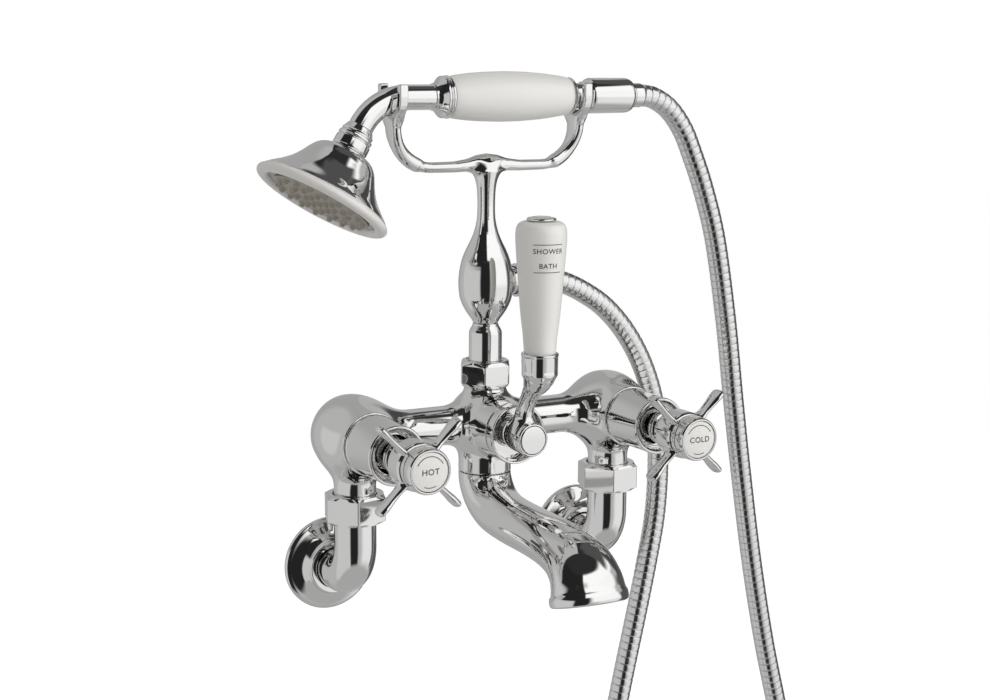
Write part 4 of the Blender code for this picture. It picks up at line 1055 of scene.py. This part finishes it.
# What the chrome reflects: (left, right, bottom, top) in degrees seen from the part, azimuth 0 towards the
# camera's side of the room and + to its right, then brightness and softness of the edges
PANELS = (
    ((-200, 200, -91, -46), 0.45, 5.0), ((-200, -135, -46, 66), 0.42, 13.0), ((165, 200, -46, 66), 0.50, 9.0),
    ((-106, -20, -48, 13), 0.66, 5.0), ((42, 110, -42, 0), 0.92, 12.0), ((26, 100, -8, 50), 1.15, 6.0),
    ((4, 122, 28, 50), 1.20, 4.0), ((-76, -16, 16, 64), 0.02, 4.0), ((-23, 20, -46, 30), 0.02, 5.0),
    ((-23, 8, 26, 60), 0.02, 3.0), ((-76, 180, 52, 91), 0.03, 4.0), ((104, 165, -40, 12), 0.10, 5.0),
    ((122, 165, 6, 40), 0.07, 5.0), ((96, 162, 36, 76), 0.09, 6.0))


def surroundings():
    """Grey studio with the panels, turned with the camera's azimuth."""
    world = bpy.data.worlds.new("studio")
    bpy.context.scene.world = world
    world.use_nodes = True
    n = Nodes(world.node_tree)
    background = world.node_tree.nodes["Background"]
    direction = n.add("ShaderNodeTexCoord").outputs["Generated"]
    parts = n.add("ShaderNodeSeparateXYZ")
    n.link(direction, parts.inputs["Vector"])
    x, y, z = parts.outputs
    right = n.math("ADD", n.math("MULTIPLY", x, cos(CAMERA_AZIMUTH)),
                   n.math("MULTIPLY", y, sin(CAMERA_AZIMUTH)))
    front = n.math("SUBTRACT", n.math("MULTIPLY", x, sin(CAMERA_AZIMUTH)),
                   n.math("MULTIPLY", y, cos(CAMERA_AZIMUTH)))
    azimuth = n.math("MULTIPLY", n.math("ARCTAN2", right, front), 180 / pi)
    elevation = n.math("MULTIPLY", n.math("ARCSINE", z), 180 / pi)
    base = n.add("ShaderNodeRGB")
    base.outputs[0].default_value = (0.53, 0.53, 0.53, 1.0)
    colour = base.outputs[0]
    for span, level, soft in PANELS:
        colour = studio_panel(n, colour, azimuth, elevation, span, level, soft)
    n.link(colour, background.inputs["Color"])
    fill(background, Strength=1.0)


def soft_light(name, place, size, power, aim=(0.0, -0.08, 0.1)):
    data = configure(bpy.data.lights.new(name, "AREA"), shape="DISK", size=size, energy=power)
    turn = (Vector(place) - Vector(aim)).to_track_quat("Z", "Y").to_euler()
    put(name, data, location=place, rotation_euler=turn, visible_glossy=False)


def backdrop():
    """Round pale floor that curves up into a pale wall, far outside every view of the part."""
    floor, radius, corner = cad_low.z / MM - 20, 4500.0, 1200.0
    profile = [(0.0, floor), (1000.0, floor), (radius - corner, floor),
               *arc((radius - corner, floor + corner), corner, -84.27, 0, 14), (radius, floor + 5000)]
    mesh = bmesh.new()
    revolve(mesh, profile, Matrix())
    data = bpy.data.meshes.new("pale_floor")
    mesh.to_mesh(data)
    mesh.free()
    data.shade_smooth()
    material = bpy.data.materials.new("pale_floor")
    material.use_nodes = True
    fill(material.node_tree.nodes["Principled BSDF"], Base_Color=(0.72, 0.72, 0.72, 1.0), Roughness=1.0,
         Specular_IOR_Level=0.0, Emission_Color=(1.0, 1.0, 1.0, 1.0), Emission_Strength=0.72)
    data.materials.append(material)
    made = put("pale_floor", data, visible_glossy=False, visible_diffuse=False, visible_shadow=False)


def paint_cad_nodes():
    """Give every CAD node that stays visible its detailed material."""
    slots = {part["node"]: part["material_slot"] for part in frame["record"]["subparts"]}
    for name, node in frame["nodes"].items():
        node.data.materials.clear()
        slot = "satin" if name.endswith("cartridge") else slots[name]
        node.data.materials.append(MATERIALS[slot])


bpy.context.scene.view_settings.view_transform = "Standard"
camera()
shower_hose()
paint_cad_nodes()
body_casting()
for side, x in SIDES:
    wall_flange(side)
    wall_elbow(side)
    union_nut(side)
    bonnet(side, x)
    handle(side, x, f"{side}_valve")
    index_cap(side, x, f"{side}_valve")
diverter_bonnet()
lever("diverter_lever")
spout()
riser()
cradle()
hose_outlet()
handset_neck("hand_shower")
handset_handle("hand_shower")
handset_hose_end("hand_shower")
rose("hand_shower")
surroundings()
soft_light("overhead", (-0.3, -0.7, 1.7), 1.6, 5.0)
soft_light("front_right", (1.3, -1.5, 0.7), 1.2, 12.0)
soft_light("left_fill", (-1.6, -0.9, 0.3), 1.4, 2.0)
backdrop()
